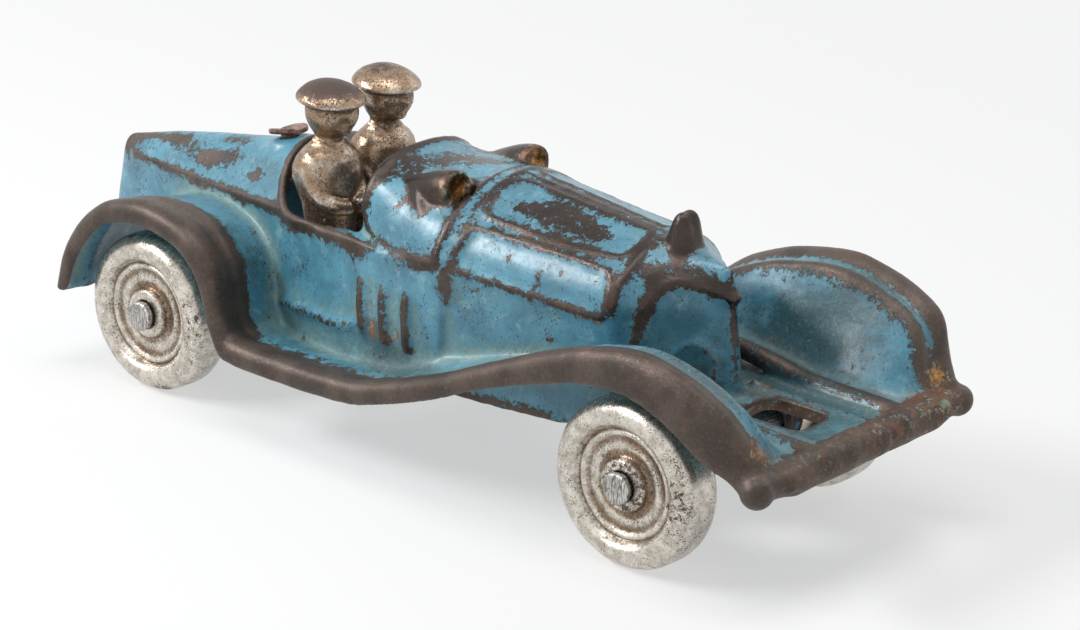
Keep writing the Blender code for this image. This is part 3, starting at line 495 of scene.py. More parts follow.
# wear from the top of the roll inwards, over crease and ridge and into the cove; all of the roll is bare
WEAR_ACROSS = {
    "near front": (0.95, 0.85, 0.5, 0.25, 0.12, 0.1, 0.12, 0.1, 0.1),
    "far front": (0.95, 0.75, 0.35, 0.15, 0.12, 0.45, 0.72, 0.66, 0.45, 0.25),
    "board": (1.0, 0.95, 0.85, 0.72, 0.55, 0.42, 0.3, 0.15),
    "rear": (1.0, 1.0, 1.0, 1.0, 0.95, 0.85, 0.75, 0.62, 0.42, 0.2)}
BOARD_STATIONS = (7, 12.5)


def wear_across(side, at):
    """Wear of each stripe of a wing at a station, from its lower rim inwards."""
    stretch = "board" if at > BOARD_STATIONS[0] else "near front" if side < 0 else "far front"
    if at > BOARD_STATIONS[1]:
        stretch = "rear"
    wear = [1.0] * 9 + list(WEAR_ACROSS[stretch])
    return (wear + [0.05] * (len(ROLL) + COVE_STEPS))[:len(ROLL) - 1 + COVE_STEPS]


for side in SIDES:
    rows = wing_rows(side)
    stations = (len(rows) - 1) * PER_ROW
    sheet = [wing_section(side, rows, i / PER_ROW) for i in range(stations + 1)]
    wear = []
    for i in range(stations):
        across = wear_across(side, i / PER_ROW)
        for value in (across if side > 0 else across[::-1]):
            wear += [value, UNDERSIDE_WEAR]
    cast(thick_sheet(sheet if side > 0 else [row[::-1] for row in sheet], WING_WALL), wear)


# The front pan: a flat floor between the wings with a rounded hole, two long ribs that run back to the
# body, and the bumper cast across its front as a rough bar with a knob at each end.
APRON_THICKNESS = 2.4
APRON_HALF_WIDTH = 15.4
APRON_REAR = 13.0
HOLE_WIDTH = 9.4
HOLE_FRONT = -18.0
HOLE_REAR = -5.0
RIB_X = 12.0
RIB_RADIUS = 1.7
BUMPER_RADIUS = 3.0
BUMPER_HALF_WIDTH = 27.0
KNOB_RADIUS = 2.8


def block(low, high):
    """Vertices and faces of a box between two corners."""
    (x0, y0, z0), (x1, y1, z1) = low, high
    return loft([[(x0, y, z0), (x1, y, z0), (x1, y, z1), (x0, y, z1)] for y in (y0, y1)])


def turned_ball(centre, radius, stretch=(1, 1, 1), rings=12, sides=20):
    """Vertices and faces of a ball, stretched along the three axes."""
    stack = []
    for k in range(rings + 1):
        lift = pi * (k + 0.02) / (rings + 0.04)
        stack.append([(centre[0] + radius * stretch[0] * sin(lift) * cos(a),
                       centre[1] + radius * stretch[1] * sin(lift) * sin(a),
                       centre[2] - radius * stretch[2] * cos(lift)) for a in round_turns(sides)])
    return loft(stack)


cast(block((-APRON_HALF_WIDTH, BUMPER_Y, APRON_TOP - APRON_THICKNESS),
           (APRON_HALF_WIDTH, APRON_REAR, APRON_TOP)), 0.15)
for side in SIDES:
    line = drawn([(side * RIB_X, BUMPER_Y + 1, APRON_TOP + 0.5), (side * RIB_X, -8, APRON_TOP + 0.9),
                  (side * RIB_X, 2, APRON_TOP + 2.4), (side * (RIB_X - 0.5), HOOD_FRONT, APRON_TOP + 4.2)])
    bead(line, RIB_RADIUS, 0.34, 16)
    line = drawn([(side * 6.6, BUMPER_Y + 1, APRON_TOP - 0.5), (side * 6.7, HOLE_REAR, APRON_TOP - 0.4),
                  (side * 6.0, 0, APRON_TOP + 0.6)])
    bead(line, 1.0, 0.22, 12)
reach = BUMPER_HALF_WIDTH - KNOB_RADIUS * 0.6
line, girths = [], []
for x in places(-reach, reach, 0.7):
    lump = noise.noise(Vector((x / 5.5, 0.3, 7.1))) + 0.9 * noise.noise(Vector((x / 2.3, 4.4, 2.0)))
    line.append((x, BUMPER_Y + 0.2 * noise.noise(Vector((x / 4, 9.0, 1.0))), BUMPER_Z + 0.3 * lump))
    neck = min(1.0, max(0.0, (abs(x) - reach + 6.5) / 4))
    girths.append(BUMPER_RADIUS * (0.99 + 0.09 * lump) * (1 - 0.26 * neck))
cast(tube(line, girths, 24), 1.0)
for side in SIDES:
    cast(turned_ball((side * BUMPER_HALF_WIDTH, BUMPER_Y, BUMPER_Z), KNOB_RADIUS), 1.0)
    inner_knob = (side * (BUMPER_HALF_WIDTH - 6.4), BUMPER_Y - 0.9, BUMPER_Z + 0.4)
    cast(turned_ball(inner_knob, KNOB_RADIUS * 0.8), 1.0)


# The lugs for the axles: ears under the pan and the tail that the steel rods run through. They were cast
# with the body and drilled afterwards.
AXLE_RADIUS = 2.2
FIT = 0.3
BORE_RADIUS = AXLE_RADIUS + FIT
TYRE_FACE = 28.1
HUB_REACH = 12.6
EAR_RADIUS = 4.4
EAR_THICKNESS = 3.2
EAR_OUTER = TYRE_FACE - HUB_REACH - FIT
for name, axle_y, top in (("front", 0, APRON_TOP - 1), ("rear", WHEELBASE, APRON_TOP)):
    outline = [(axle_y - EAR_RADIUS, top), (axle_y + EAR_RADIUS, top)]
    outline += [(axle_y + EAR_RADIUS * cos(-pi * i / 20), EAR_RADIUS * sin(-pi * i / 20)) for i in range(21)]
    inner = EAR_OUTER - EAR_THICKNESS if name == "front" else side_at(axle_y, 0) - WALL + 0.4
    for side in SIDES:
        cast(loft([[(side * x, y, z) for y, z in outline] for x in (inner, EAR_OUTER)]), 0.35)


# Lamps and filler cap: two teardrop lamps on the cowl, their bowls open in front, and on the radiator a
# tall cap like two fingers pressed together, with a groove between them.
LAMP_X = 10.1
LAMP_Y = 51.4
LAMP_Z = 33.4
LAMP_RADIUS = 3.6
LAMP_LENGTH = 11.5
LAMP_OUTLINE = ((0.0, 0.88), (0.015, 0.96), (0.06, 1.0), (0.16, 1.0), (0.28, 0.95), (0.4, 0.86), (0.52, 0.74),
                (0.64, 0.6), (0.76, 0.46), (0.86, 0.32), (0.94, 0.2), (1.0, 0.08))
CAP_Y = 10.2
CAP_TOP = 37.4
CAP_RADIUS = 2.3
# height share, sideways share and girth share of one finger of the cap
CAP_OUTLINE = ((-0.4, 1.4, 1.8), (-0.1, 1.25, 1.45), (0.15, 1.05, 1.2), (0.5, 0.94, 0.95), (0.75, 0.84, 0.78),
               (0.88, 0.78, 0.62), (0.95, 0.74, 0.46), (0.99, 0.72, 0.26), (1.0, 0.72, 0.08))
for side in SIDES:
    rings = []
    for along, share in LAMP_OUTLINE:
        rings.append([(side * (LAMP_X + 0.6 * along) + LAMP_RADIUS * share * cos(a),
                       LAMP_Y + LAMP_LENGTH * along,
                       LAMP_Z - 0.8 * along + LAMP_RADIUS * share * sin(a)) for a in round_turns(28)])
    cast(loft(rings), 0.9)
    foot = NOSE_TOP + 0.6
    tall = CAP_TOP - foot
    line = [(side * CAP_RADIUS * 0.44 * aside, CAP_Y + 0.4 * (1 - up), foot + tall * up)
            for up, aside, _ in CAP_OUTLINE]
    cast(tube(line, [CAP_RADIUS * girth for _, _, girth in CAP_OUTLINE], 20), 1.0)
    # the fold that runs down behind each lamp
    line = drawn([(side * 12.6, 58.6, 32.2), (side * 14.2, 56.6, 30.6), (side * 15.2, 54.4, 29.0)])
    cast(tube(line, [0.8 - 0.4 * i / len(line) for i in range(len(line))], 12), 0.9)


# The low relief of the sides: louvres, the bead over the running board, the tail's crease, and the arched
# ridge and small arch beside the radiator. It was cut into the pattern and cast with the body.
LOUVRE_YS = (54.3, 59.9, 65.6)
LOUVRE_TOP = 16.0
LOUVRE_FOOT = 6.4
for side in SIDES:
    for y in LOUVRE_YS:
        top, foot = side_at(y, LOUVRE_TOP), side_at(y, LOUVRE_FOOT)
        line = [(side * (top - 1.6), y + 0.3, LOUVRE_TOP + 0.8), (side * (top + 0.1), y, LOUVRE_TOP - 0.6),
                (side * (foot + 0.15), y - 0.8, LOUVRE_FOOT + 1.4),
                (side * (foot - 1.6), y - 0.9, LOUVRE_FOOT - 0.4)]
        bead(drawn(line), 1.0, 0.5, 12)
    for arch, sink, girth, wear in (
            ([(-1.0, 24.5), (1.5, 25.9), (3.8, 26.8), (7.1, 27.3), (9.0, 26.0), (10.0, 23.2), (10.6, 19.0),
              (10.9, 15.5)], 0.15, 0.6, 0.7),
            ([(6.4, 13.2), (6.0, 15.4), (4.6, 17.0), (2.8, 16.9), (1.0, 14.6), (0.6, 10.8)], 0.2, 0.5, 0.4)):
        line = [(side * (hood_x(y - lean(y, z), z) - sink), y, z) for y, z in arch]
        bead(drawn(line), girth, wear)
    # the tail's crease, where the deck turns down into the side
    line = []
    for y in places(66, 141, 3):
        half, belt = smooth(TUB_SECTIONS, y)[:2]
        drop = 0.8 - 1.4 * min(1.0, max(0.0, (88 - y) / 12))
        sink = 0.4 + 0.7 * min(1.0, max(0.0, (84 - y) / 14))
        line.append((side * (half - sink), y + lean(y, belt + drop), belt + drop))
    bead(drawn(line), 0.78, 0.62)
    # the bead along the sill, over the running board
    line = [(side * (side_at(y, z) - sink), y, z) for y, z, sink in
            ((90, 4.6, 1.2), (87, 5.3, 0.35), (80, 5.9, 0.25), (73, 6.2, 0.25), (69, 6.9, 0.3),
             (66.5, 8.6, 1.0))]
    bead(drawn(line), 1.25, 0.3, 12)


# The pad on the deck where the rivet goes through, and the boss below it that the riders' strap is pulled
# against. Both are part of the iron casting.
RIVET_Y = DECK_FRONT + 7.8
RIVET_RADIUS = 1.5
RIVET_BOSS_RADIUS = 4.8
RIVET_BOSS_DEPTH = 3.6
RIVET_PAD = 0.2
slope = (crown_at(0, RIVET_Y + 2) - crown_at(0, RIVET_Y - 2)) / 4
deck = Matrix.Translation((0, RIVET_Y, crown_at(0, RIVET_Y))) @ Matrix.Rotation(atan2(slope, 1), 4, "X")


def on_deck(profile, sides=28):
    """Vertices and faces of a form turned about the rivet's axis, from (radius, height) points."""
    return loft([[tuple(deck @ Vector((r * cos(a), r * sin(a), h))) for a in round_turns(sides)]
                 for r, h in profile])


cast(on_deck([(0.1, RIVET_PAD + 0.1), (RIVET_BOSS_RADIUS * 0.7, RIVET_PAD), (RIVET_BOSS_RADIUS, -0.3),
              (RIVET_BOSS_RADIUS, -RIVET_BOSS_DEPTH), (0.1, -RIVET_BOSS_DEPTH)]))


# The casting poured: all the forms above become one skin of iron, then the hollows are cut from it. The
# sand left every edge round and every corner filled, and the skin slightly uneven.
FULL_GRAIN = 0.4            # size of the voxels that the casting's skin is made from
GRAIN = FULL_GRAIN
MOST_FACES = 188000
SEAT_TOP = 12.0
RIVET_BORE = [(0.1, 6), (RIVET_RADIUS + FIT, 6), (RIVET_RADIUS + FIT, -9), (0.1, -9)]


def solid_mesh(forms):
    """One mesh of closed forms, their faces turned outwards."""
    points, faces = [], []
    for form in forms:
        faces += [tuple(i + len(points) for i in face) for face in form[1]]
        points += form[0]
    mesh = bpy.data.meshes.new("forms")
    mesh.from_pydata([tuple(p) for p in points], [], faces)
    work = bmesh.new()
    work.from_mesh(mesh)
    bmesh.ops.recalc_face_normals(work, faces=work.faces)
    work.to_mesh(mesh)
    work.free()
    return mesh


def linked(name, data):
    """A new object in the scene."""
    item = bpy.data.objects.new(name, data)
    bpy.context.scene.collection.objects.link(item)
    return item


def worked(mesh, kind, **settings):
    """The mesh after one modifier."""
    item = linked("work", mesh)
    modifier = item.modifiers.new("work", kind)
    for name, value in settings.items():
        setattr(modifier, name, value)
    result = bpy.data.meshes.new_from_object(item.evaluated_get(bpy.context.evaluated_depsgraph_get()))
    bpy.data.objects.remove(item)
    return result


def remeshed(mesh, grain):
    """The mesh made anew as one closed skin of small even faces."""
    return worked(mesh, "REMESH", mode="VOXEL", voxel_size=grain)


def without(mesh, cutters):
    """The mesh with the cutters' forms taken out of it."""
    tool = linked("cutter", cutters)
    result = worked(mesh, "BOOLEAN", object=tool, operation="DIFFERENCE", solver="MANIFOLD")
    bpy.data.objects.remove(tool)
    return result


def hollow(sections, ys, foot):
    """The inside of a stretch of the shell, open down to its foot."""
    return loft([[(x, y, z) for x, _, z in hull_ring(sections, y, WALL, foot)] for y in ys])


def bore(axle_y):
    """The hole that an axle runs through."""
    return loft([[(x, axle_y + BORE_RADIUS * cos(a), BORE_RADIUS * sin(a)) for a in round_turns(40)]
                 for x in (-TYRE_FACE, TYRE_FACE)])


def pan_hole(corner=2.4, steps=8):
    """The hole with rounded corners in the front pan."""
    outline = []
    for x_side, y, start in ((1, HOLE_FRONT + corner, 270), (1, HOLE_REAR - corner, 0),
                             (-1, HOLE_REAR - corner, 90), (-1, HOLE_FRONT + corner, 180)):
        for i in range(steps + 1):
            angle = radians(start + 90 * i / steps)
            outline.append((x_side * (HOLE_WIDTH / 2 - corner) + corner * cos(angle),
                            y + corner * sin(angle)))
    return loft([[(x, y, z) for x, y in outline] for z in (APRON_TOP - 5, APRON_TOP + 2)])


below = BOARD_UNDERSIDE - 12
nose = between(NOSE_Y, HOOD_FRONT, 0.5)
opening = both_sides(cockpit_outline())
hood_places = places(nose, HOOD_FRONT, 1.5) + places(HOOD_FRONT, HOOD_REAR + 1, 2)[1:]
cutters = [hollow(HOOD_SECTIONS, hood_places, below),
           hollow(TUB_SECTIONS, places(HOOD_REAR + 0.4, STERN_Y - 10, 2), below),
           hollow(COWL_SECTIONS, places(HOOD_REAR - 2, COWL_REAR + 1, 1.5), COWL_FOOT - 2),
           loft([[(x, y, z) for x, y in opening] for z in (SEAT_TOP - 3, COWL_TOP + 8)]),
           pan_hole(), bore(0), bore(WHEELBASE), on_deck(RIVET_BORE)]
groove = drawn([(0, CAP_Y - CAP_RADIUS * 1.35, NOSE_TOP + 2.0), (0, CAP_Y - CAP_RADIUS * 1.1, NOSE_TOP + 4.5),
                (0, CAP_Y - CAP_RADIUS * 0.75, CAP_TOP - 1.4), (0, CAP_Y - 0.4, CAP_TOP + 0.2)])
cutters.append(tube(groove, [0.95] * len(groove), 12))
for side in SIDES:
    bowl = (side * LAMP_X, LAMP_Y - 0.8, LAMP_Z + 0.5)
    cutters.append(turned_ball(bowl, LAMP_RADIUS * 0.74, (1.04, 0.75, 0.98)))
blank = remeshed(solid_mesh(casting), GRAIN)
tools = remeshed(solid_mesh(cutters), GRAIN)
rough = remeshed(without(blank, tools), GRAIN)


def read_points(mesh):
    points = np.empty(len(mesh.vertices) * 3)
    mesh.vertices.foreach_get("co", points)
    return points.reshape(-1, 3)


def write_points(mesh, points):
    mesh.vertices.foreach_set("co", points.ravel())
    mesh.update()


def read_normals(mesh):
    normals = np.empty(len(mesh.vertices) * 3, dtype=np.float32)
    mesh.vertex_normals.foreach_get("vector", normals)
    return normals.reshape(-1, 3)


def neighbour_mean(mesh):
    """A function that takes values at a mesh's vertices to their means over each vertex's neighbours."""
    edges = np.empty(len(mesh.edges) * 2, dtype=np.int32)
    mesh.edges.foreach_get("vertices", edges)
    edges = edges.reshape(-1, 2)
    here = np.concatenate((edges[:, 0], edges[:, 1]))
    there = np.concatenate((edges[:, 1], edges[:, 0]))
    count = len(mesh.vertices)
    degree = np.maximum(1, np.bincount(here, minlength=count))

    def mean(values):
        columns = values.reshape(count, -1)
        total = [np.bincount(here, columns[there, c], count) for c in range(columns.shape[1])]
        return (np.array(total) / degree).T.reshape(values.shape)
    return mean


def eased(mesh, rounds, corners=0.8, edges=0.07):
    """Fills the corners of a mesh and rounds its edges, as sand and molten iron leave them."""
    mean = neighbour_mean(mesh)
    points = read_points(mesh)
    for _ in range(rounds):
        normals = read_normals(mesh)
        pull = mean(points) - points
        out = (pull * normals).sum(axis=1, keepdims=True)
        points += (pull - normals * out) * 0.5 + normals * np.where(out > 0, out * corners, out * edges)
        write_points(mesh, points)


def unevenness(points, grain, seed):
    """Smooth noise between -1 and 1 at points, its waves grain millimetres long."""
    shift = Vector((seed, seed * 1.7, seed * 0.6))
    return np.array([noise.noise(Vector(p) / grain + shift) for p in points])


def swelled(mesh, *waves):
    """Moves a mesh's surface in and out by waves, each given by its height, its length and a seed."""
    points = read_points(mesh)
    swells = sum(height * unevenness(points, length, seed) for height, length, seed in waves)
    write_points(mesh, points + read_normals(mesh) * swells[:, None])


eased(rough, 16)
swelled(rough, (0.085, 6.5, 3.0), (0.035, 2.3, 8.0))


# The wear of the casting: how far each spot stands out or lies deep, and how bare its kind of form is.
# The enamel went first where hands and floors rubbed the iron, and dirt stayed in the corners; the corners
# and undersides where shade falls are also darkened with painted shade.
def relief(mesh, rounds):
    """Height of each vertex over the same surface smoothed, in millimetres: ridges above 0, creases below."""
    mean = neighbour_mean(mesh)
    start = read_points(mesh)
    flat = start.copy()
    for _ in range(rounds):
        flat += (mean(flat) - flat) * 0.7
    return ((start - flat) * read_normals(mesh)).sum(axis=1), mean


FORM_REACH = 1.2            # a vertex farther than this from every form lies in the hollow
INSIDE_WEAR = 0.25
fine_rounds = max(3, round(10 * (FULL_GRAIN / GRAIN) ** 2))
fine, mean = relief(rough, fine_rounds)
broad, _ = relief(rough, fine_rounds * 7)
all_points, all_faces, face_wear = [], [], []
for form_points, form_faces, wear in casting:
    all_faces += [tuple(i + len(all_points) for i in face) for face in form_faces]
    all_points += [Vector(p) for p in form_points]
    wears = wear if isinstance(wear, list) else [wear]
    face_wear += wears + [wears[-1]] * (len(form_faces) - len(wears))
nearest = BVHTree.FromPolygons(all_points, all_faces)
points = read_points(rough)
bare = np.zeros(len(points))
for i, point in enumerate(points):
    _, _, face, distance = nearest.find_nearest(Vector(point))
    bare[i] = face_wear[face] if distance < FORM_REACH else INSIDE_WEAR

HOLE_RIM = (0.0, (HOLE_FRONT + HOLE_REAR) / 2, 6.3)
# rubbed spots of this one toy: centre, reach along X, Y and Z, and how much barer it is there
RUBBED = (
    ((-8.3, 39.5, 33.2), (1.8, 3.0, 1.6), 0.6), ((-7.4, 34.5, 33.0), (3.2, 4.2, 2.4), 0.8),
    ((-7.6, 27.5, 32.2), (3.0, 4.5, 2.4), 0.75), ((-7.2, 22.5, 31.6), (2.2, 2.6, 1.8), 0.55),
    ((-4.6, 31.0, 33.4), (1.6, 8.0, 1.4), 0.5), ((-15.4, 28.3, 24.9), (1.0, 0.9, 2.0), 0.55),
    ((-15.1, 35.6, 26.8), (0.9, 1.4, 1.2), 0.52), ((-14.2, 25.2, 26.7), (0.9, 3.0, 1.2), 0.45),
    ((-8.5, 11.8, 28.9), (2.4, 2.0, 2.0), 0.75), ((-8.0, 9.4, 27.4), (1.6, 1.8, 1.8), 0.65),
    ((-4.0, 8.0, 29.8), (3.6, 2.4, 2.0), 0.7), ((-3.4, 4.2, 27.9), (3.0, 2.6, 1.8), 0.66),
    ((-10.2, 9.8, 23.5), (1.8, 1.4, 2.6), 0.8),
    ((-10.8, 10.2, 19.4), (0.9, 0.8, 2.4), 0.6), ((-1.6, 1.6, 26.8), (2.2, 2.0, 1.4), 0.55),
    ((-5.8, 65.0, 34.7), (3.0, 2.6, 1.6), 0.72), ((-2.2, 62.0, 34.9), (4.2, 2.4, 1.6), 0.75),
    ((0.4, 58.4, 35.0), (3.2, 2.6, 1.6), 0.7), ((3.4, 54.8, 35.0), (3.0, 2.4, 1.6), 0.66),
    ((-9.6, 63.4, 33.4), (2.2, 2.6, 1.6), 0.6), ((-11.6, 67.0, 32.6), (2.6, 1.6, 2.4), 0.6),
    ((-14.6, 60.4, 29.8), (1.2, 1.0, 3.0), 0.6), ((-13.5, 58.4, 31.4), (2.0, 2.4, 2.0), 0.75),
    ((-14.6, 54.8, 30.2), (1.3, 1.4, 2.0), 0.6), ((-18.6, 51.5, 22.3), (1.2, 4.0, 1.6), 0.6),
    ((-18.0, 68.0, 21.2), (1.4, 4.5, 2.2), 0.8), ((-17.4, 76.0, 21.4), (1.4, 5.0, 1.6), 0.6),
    ((-18.7, 47.0, 19.8), (1.2, 1.2, 2.8), 0.6), ((-18.5, 67.5, 18.0), (0.7, 0.9, 0.9), 0.8),
    ((-17.6, 61.0, 20.8), (1.2, 4.0, 1.2), 0.5), ((-5.8, 115.1, 23.9), (1.8, 4.2, 1.8), 0.66),
    ((-6.8, 117.5, 22.4), (1.4, 3.4, 1.2), 0.55), ((-5.5, 109.6, 25.4), (1.6, 2.8, 1.2), 0.6),
    ((-8.8, 101.0, 24.4), (1.8, 3.0, 1.4), 0.55), ((-2.2, 128.0, 23.6), (2.0, 10.0, 1.6), 0.62),
    ((-1.0, 138.5, 21.9), (1.8, 5.0, 1.4), 0.7), ((-2.3, 113.0, 27.0), (1.6, 6.0, 1.2), 0.52),
    ((-2.4, 142.0, 19.3), (1.6, 2.4, 3.4), 0.6), ((-6.1, 128.0, 16.3), (1.0, 4.0, 1.4), 0.45),
    ((-11.0, 103.0, 19.0), (1.2, 4.0, 1.4), 0.55), ((-14.6, 88.0, 19.2), (1.4, 6.0, 1.6), 0.6),
    ((-0.7, -2.1, 12.0), (0.8, 1.0, 5.0), 0.5), ((-0.4, -1.0, 20.5), (0.8, 1.2, 4.5), 0.55),
    ((-22.8, 92.0, 11.0), (1.6, 3.4, 4.6), 0.5), ((-22.0, 96.5, 17.0), (1.6, 3.4, 3.4), 0.45),
    ((-20.6, 103.0, 19.5), (1.6, 4.4, 2.0), 0.4), ((-20.6, 58.0, 7.3), (0.9, 2.6, 0.9), 0.62),
    ((-20.5, 50.5, 6.6), (0.9, 3.8, 0.9), 0.55), ((-17.0, 30.0, 2.2), (1.8, 15.0, 1.2), 0.55),
    ((-18.6, 45.0, 1.6), (1.8, 9.0, 1.0), 0.5), ((12.2, -14.0, 11.2), (1.4, 9.0, 1.1), 0.42),
    ((13.6, -4.0, 11.4), (1.4, 5.0, 1.2), 0.3), ((0.0, -24.0, 9.6), (20.0, 1.4, 1.4), 0.45),
    ((-24.5, -22.5, 11.0), (3.0, 3.0, 3.0), 0.45), ((22.5, -22.0, 12.5), (3.0, 4.0, 3.5), 0.45),
    ((19.0, 33.0, 24.0), (2.0, 9.0, 3.0), 0.35), ((8.0, 30.0, 33.0), (3.0, 6.0, 2.0), 0.6),
    ((11.0, 112.0, 22.0), (3.0, 8.0, 2.0), 0.55), ((14.0, 90.0, 21.0), (2.0, 6.0, 2.0), 0.5),
    ((9.0, 63.0, 33.6), (4.0, 4.0, 2.0), 0.6), ((-15.6, 82.0, 21.0), (1.4, 6.0, 1.6), 0.55),
    ((-12.6, 95.0, 20.4), (1.4, 6.0, 1.5), 0.5), ((-8.6, 116.0, 18.0), (1.2, 6.0, 1.3), 0.45),
    ((-16.5, 57.0, 23.0), (1.4, 4.0, 1.6), 0.5), ((-20.2, 72.0, 12.0), (0.8, 2.0, 1.6), 0.35),
    ((-4.6, 122.0, 23.0), (2.6, 9.0, 2.0), 0.3), ((-8.0, 106.0, 23.0), (3.0, 7.0, 2.6), 0.26),
    ((0.0, 60.0, 34.0), (12.0, 9.0, 3.0), 0.16))
MOST_RUBBED = 0.62
# where hands have polished the bare iron dark: hood, lamps, cap and cowl
POLISHED = (((0.0, 30.0, 30.0), (21.0, 34.0, 9.0), 1.0), ((0.0, 60.0, 33.0), (22.0, 16.0, 9.0), 1.0),
            ((0.0, 8.0, 32.0), (10.0, 10.0, 10.0), 0.8))
# places that rubbing never reached, where grime lies, and the coves, corners and undersides by the nose,
# wings, sills and cockpit where shade falls, darkened as painted shade: centre, reach and strength; the same
# on both sides
GRIME_AND_SHADE = (
    ((6.0, -14.0, 8.0), (10.0, 13.0, 3.0), 1.0), ((12.0, 2.0, 10.0), (6.0, 8.0, 5.0), 0.9),
    ((19.0, -4.0, 15.0), (6.0, 13.0, 8.0), 1.0), ((21.5, 52.0, 3.6), (3.0, 16.0, 3.0), 0.9),
    ((20.4, 61.0, 8.0), (2.0, 6.0, 4.0), 0.75), ((21.0, 26.0, 12.0), (4.0, 12.0, 4.0), 0.8),
    ((19.0, 92.0, 12.0), (3.0, 9.0, 7.0), 0.6), ((21.0, 78.0, 3.0), (3.0, 9.0, 3.0), 0.7),
    ((17.0, 52.0, 24.0), (3.0, 6.0, 3.0), 0.45), ((10.0, 100.0, 26.0), (5.0, 5.0, 3.0), 0.5),
    ((11.0, 14.0, 22.0), (3.0, 4.0, 6.0), 0.5), ((25.0, -11.0, 20.0), (4.5, 11.0, 8.0), 0.9),
    ((5.0, 0.0, 14.0), (5.0, 5.0, 6.0), 0.6), ((6.0, 88.0, 18.0), (14.0, 14.0, 9.0), 0.3))
# spots of orange rust and old varnish: centre, reach and strength
RUSTY = (
    ((-LAMP_X, 52.2, 33.8), (2.8, 1.3, 2.8), 1.1), ((LAMP_X, 52.2, 33.8), (2.8, 1.3, 2.8), 1.1),
    ((-24.6, -24.0, 11.4), (2.6, 2.0, 2.4), 0.84), ((23.5, -24.6, 11.4), (2.4, 1.6, 2.0), 0.76),
    ((-19.9, 62.4, 8.0), (0.9, 0.9, 1.6), 0.85), ((-20.6, 56.3, 8.6), (0.9, 0.8, 1.4), 0.8),
    ((-15.2, 19.6, 20.8), (0.6, 1.5, 0.5), 1.0), ((-14.7, 16.2, 20.4), (0.6, 0.8, 0.5), 1.0),
    (HOLE_RIM, (5.4, 7.4, 1.4), 0.7), ((-16.0, BUMPER_Y, BUMPER_Z), (9.0, 4.0, 4.0), 0.34),
    ((4.0, BUMPER_Y, BUMPER_Z), (12.0, 4.0, 4.0), 0.4), ((20.0, BUMPER_Y, BUMPER_Z), (7.0, 4.0, 4.0), 0.44),
    ((-20.6, 60.0, 7.6), (1.0, 2.4, 1.0), 0.4), ((5.0, -2.0, 9.0), (4.0, 3.0, 2.0), 0.4))


def spotted(points, spots):
    """Sum of soft spots at points, each from its centre, its reach along X, Y and Z, and its strength."""
    total = np.zeros(len(points))
    for centre, reach, strength in spots:
        away = (((points - np.array(centre)) / np.array(reach)) ** 2).sum(axis=1)
        total += strength * np.exp(-away)
    return total


def blurred(values, mean, rounds):
    """Values evened out between neighbours."""
    for _ in range(rounds):
        values = values * 0.4 + mean(values) * 0.6
    return values


sharp = blurred(bare, mean, 9)
wide = blurred(bare, mean, max(4, fine_rounds * 2))
bare = np.maximum(sharp * 0.91, wide * 1.05) + np.minimum(spotted(points, RUBBED), MOST_RUBBED)
# the rough edge of the pan's hole, and the lamps' bowls
bare += spotted(points, ((HOLE_RIM, (5.6, 7.8, 1.3), 1.6),
                         ((-LAMP_X, 51.6, 33.8), (4.2, 2.2, 3.6), 1.0),
                         ((LAMP_X, 51.6, 33.8), (4.2, 2.2, 3.6), 1.0)))
rusty = spotted(points, RUSTY)
polished = np.minimum(1.0, spotted(points, POLISHED))
# grime and painted shade at each vertex, mirrored so that both sides share the spots
grime_and_shade = spotted(np.abs(points) * np.array((1, 0, 0)) + points * np.array((0, 1, 1)), GRIME_AND_SHADE)

def stored(mesh, name, values):
    """Keeps a value for each vertex, under a name that a material reads."""
    layer = mesh.attributes.new(name, "FLOAT", "POINT")
    layer.data.foreach_set("value", values.astype(np.float32))


# the skin thinned to the library's face limit, and its wear read off again at the vertices that are left
count = len(rough.polygons) * 2
skin = worked(rough, "DECIMATE", ratio=min(1.0, MOST_FACES / count))
lookup = KDTree(len(points))
for i, point in enumerate(points):
    lookup.insert(point, i)
lookup.balance()
spots = np.array([lookup.find(Vector(p))[1] for p in read_points(skin)])
for name, values in (("ridge", fine), ("swell", broad), ("bare", bare), ("rusty", rusty), ("grime_and_shade", grime_and_shade),
                     ("polished", polished)):
    stored(skin, name, values[spots])


def in_frame(mesh):
    """Shades a mesh smooth and takes it from the toy's own millimetres to the frame's metres."""
    mesh.polygons.foreach_set("use_smooth", [True] * len(mesh.polygons))
    mesh.transform(Matrix.Scale(MM, 4) @ Matrix.Translation((0, -MIDDLE_Y, WHEEL_RADIUS)))
    return mesh


body = linked("body_casting_skin", in_frame(skin))
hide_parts("body_casting")
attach(body, "car")
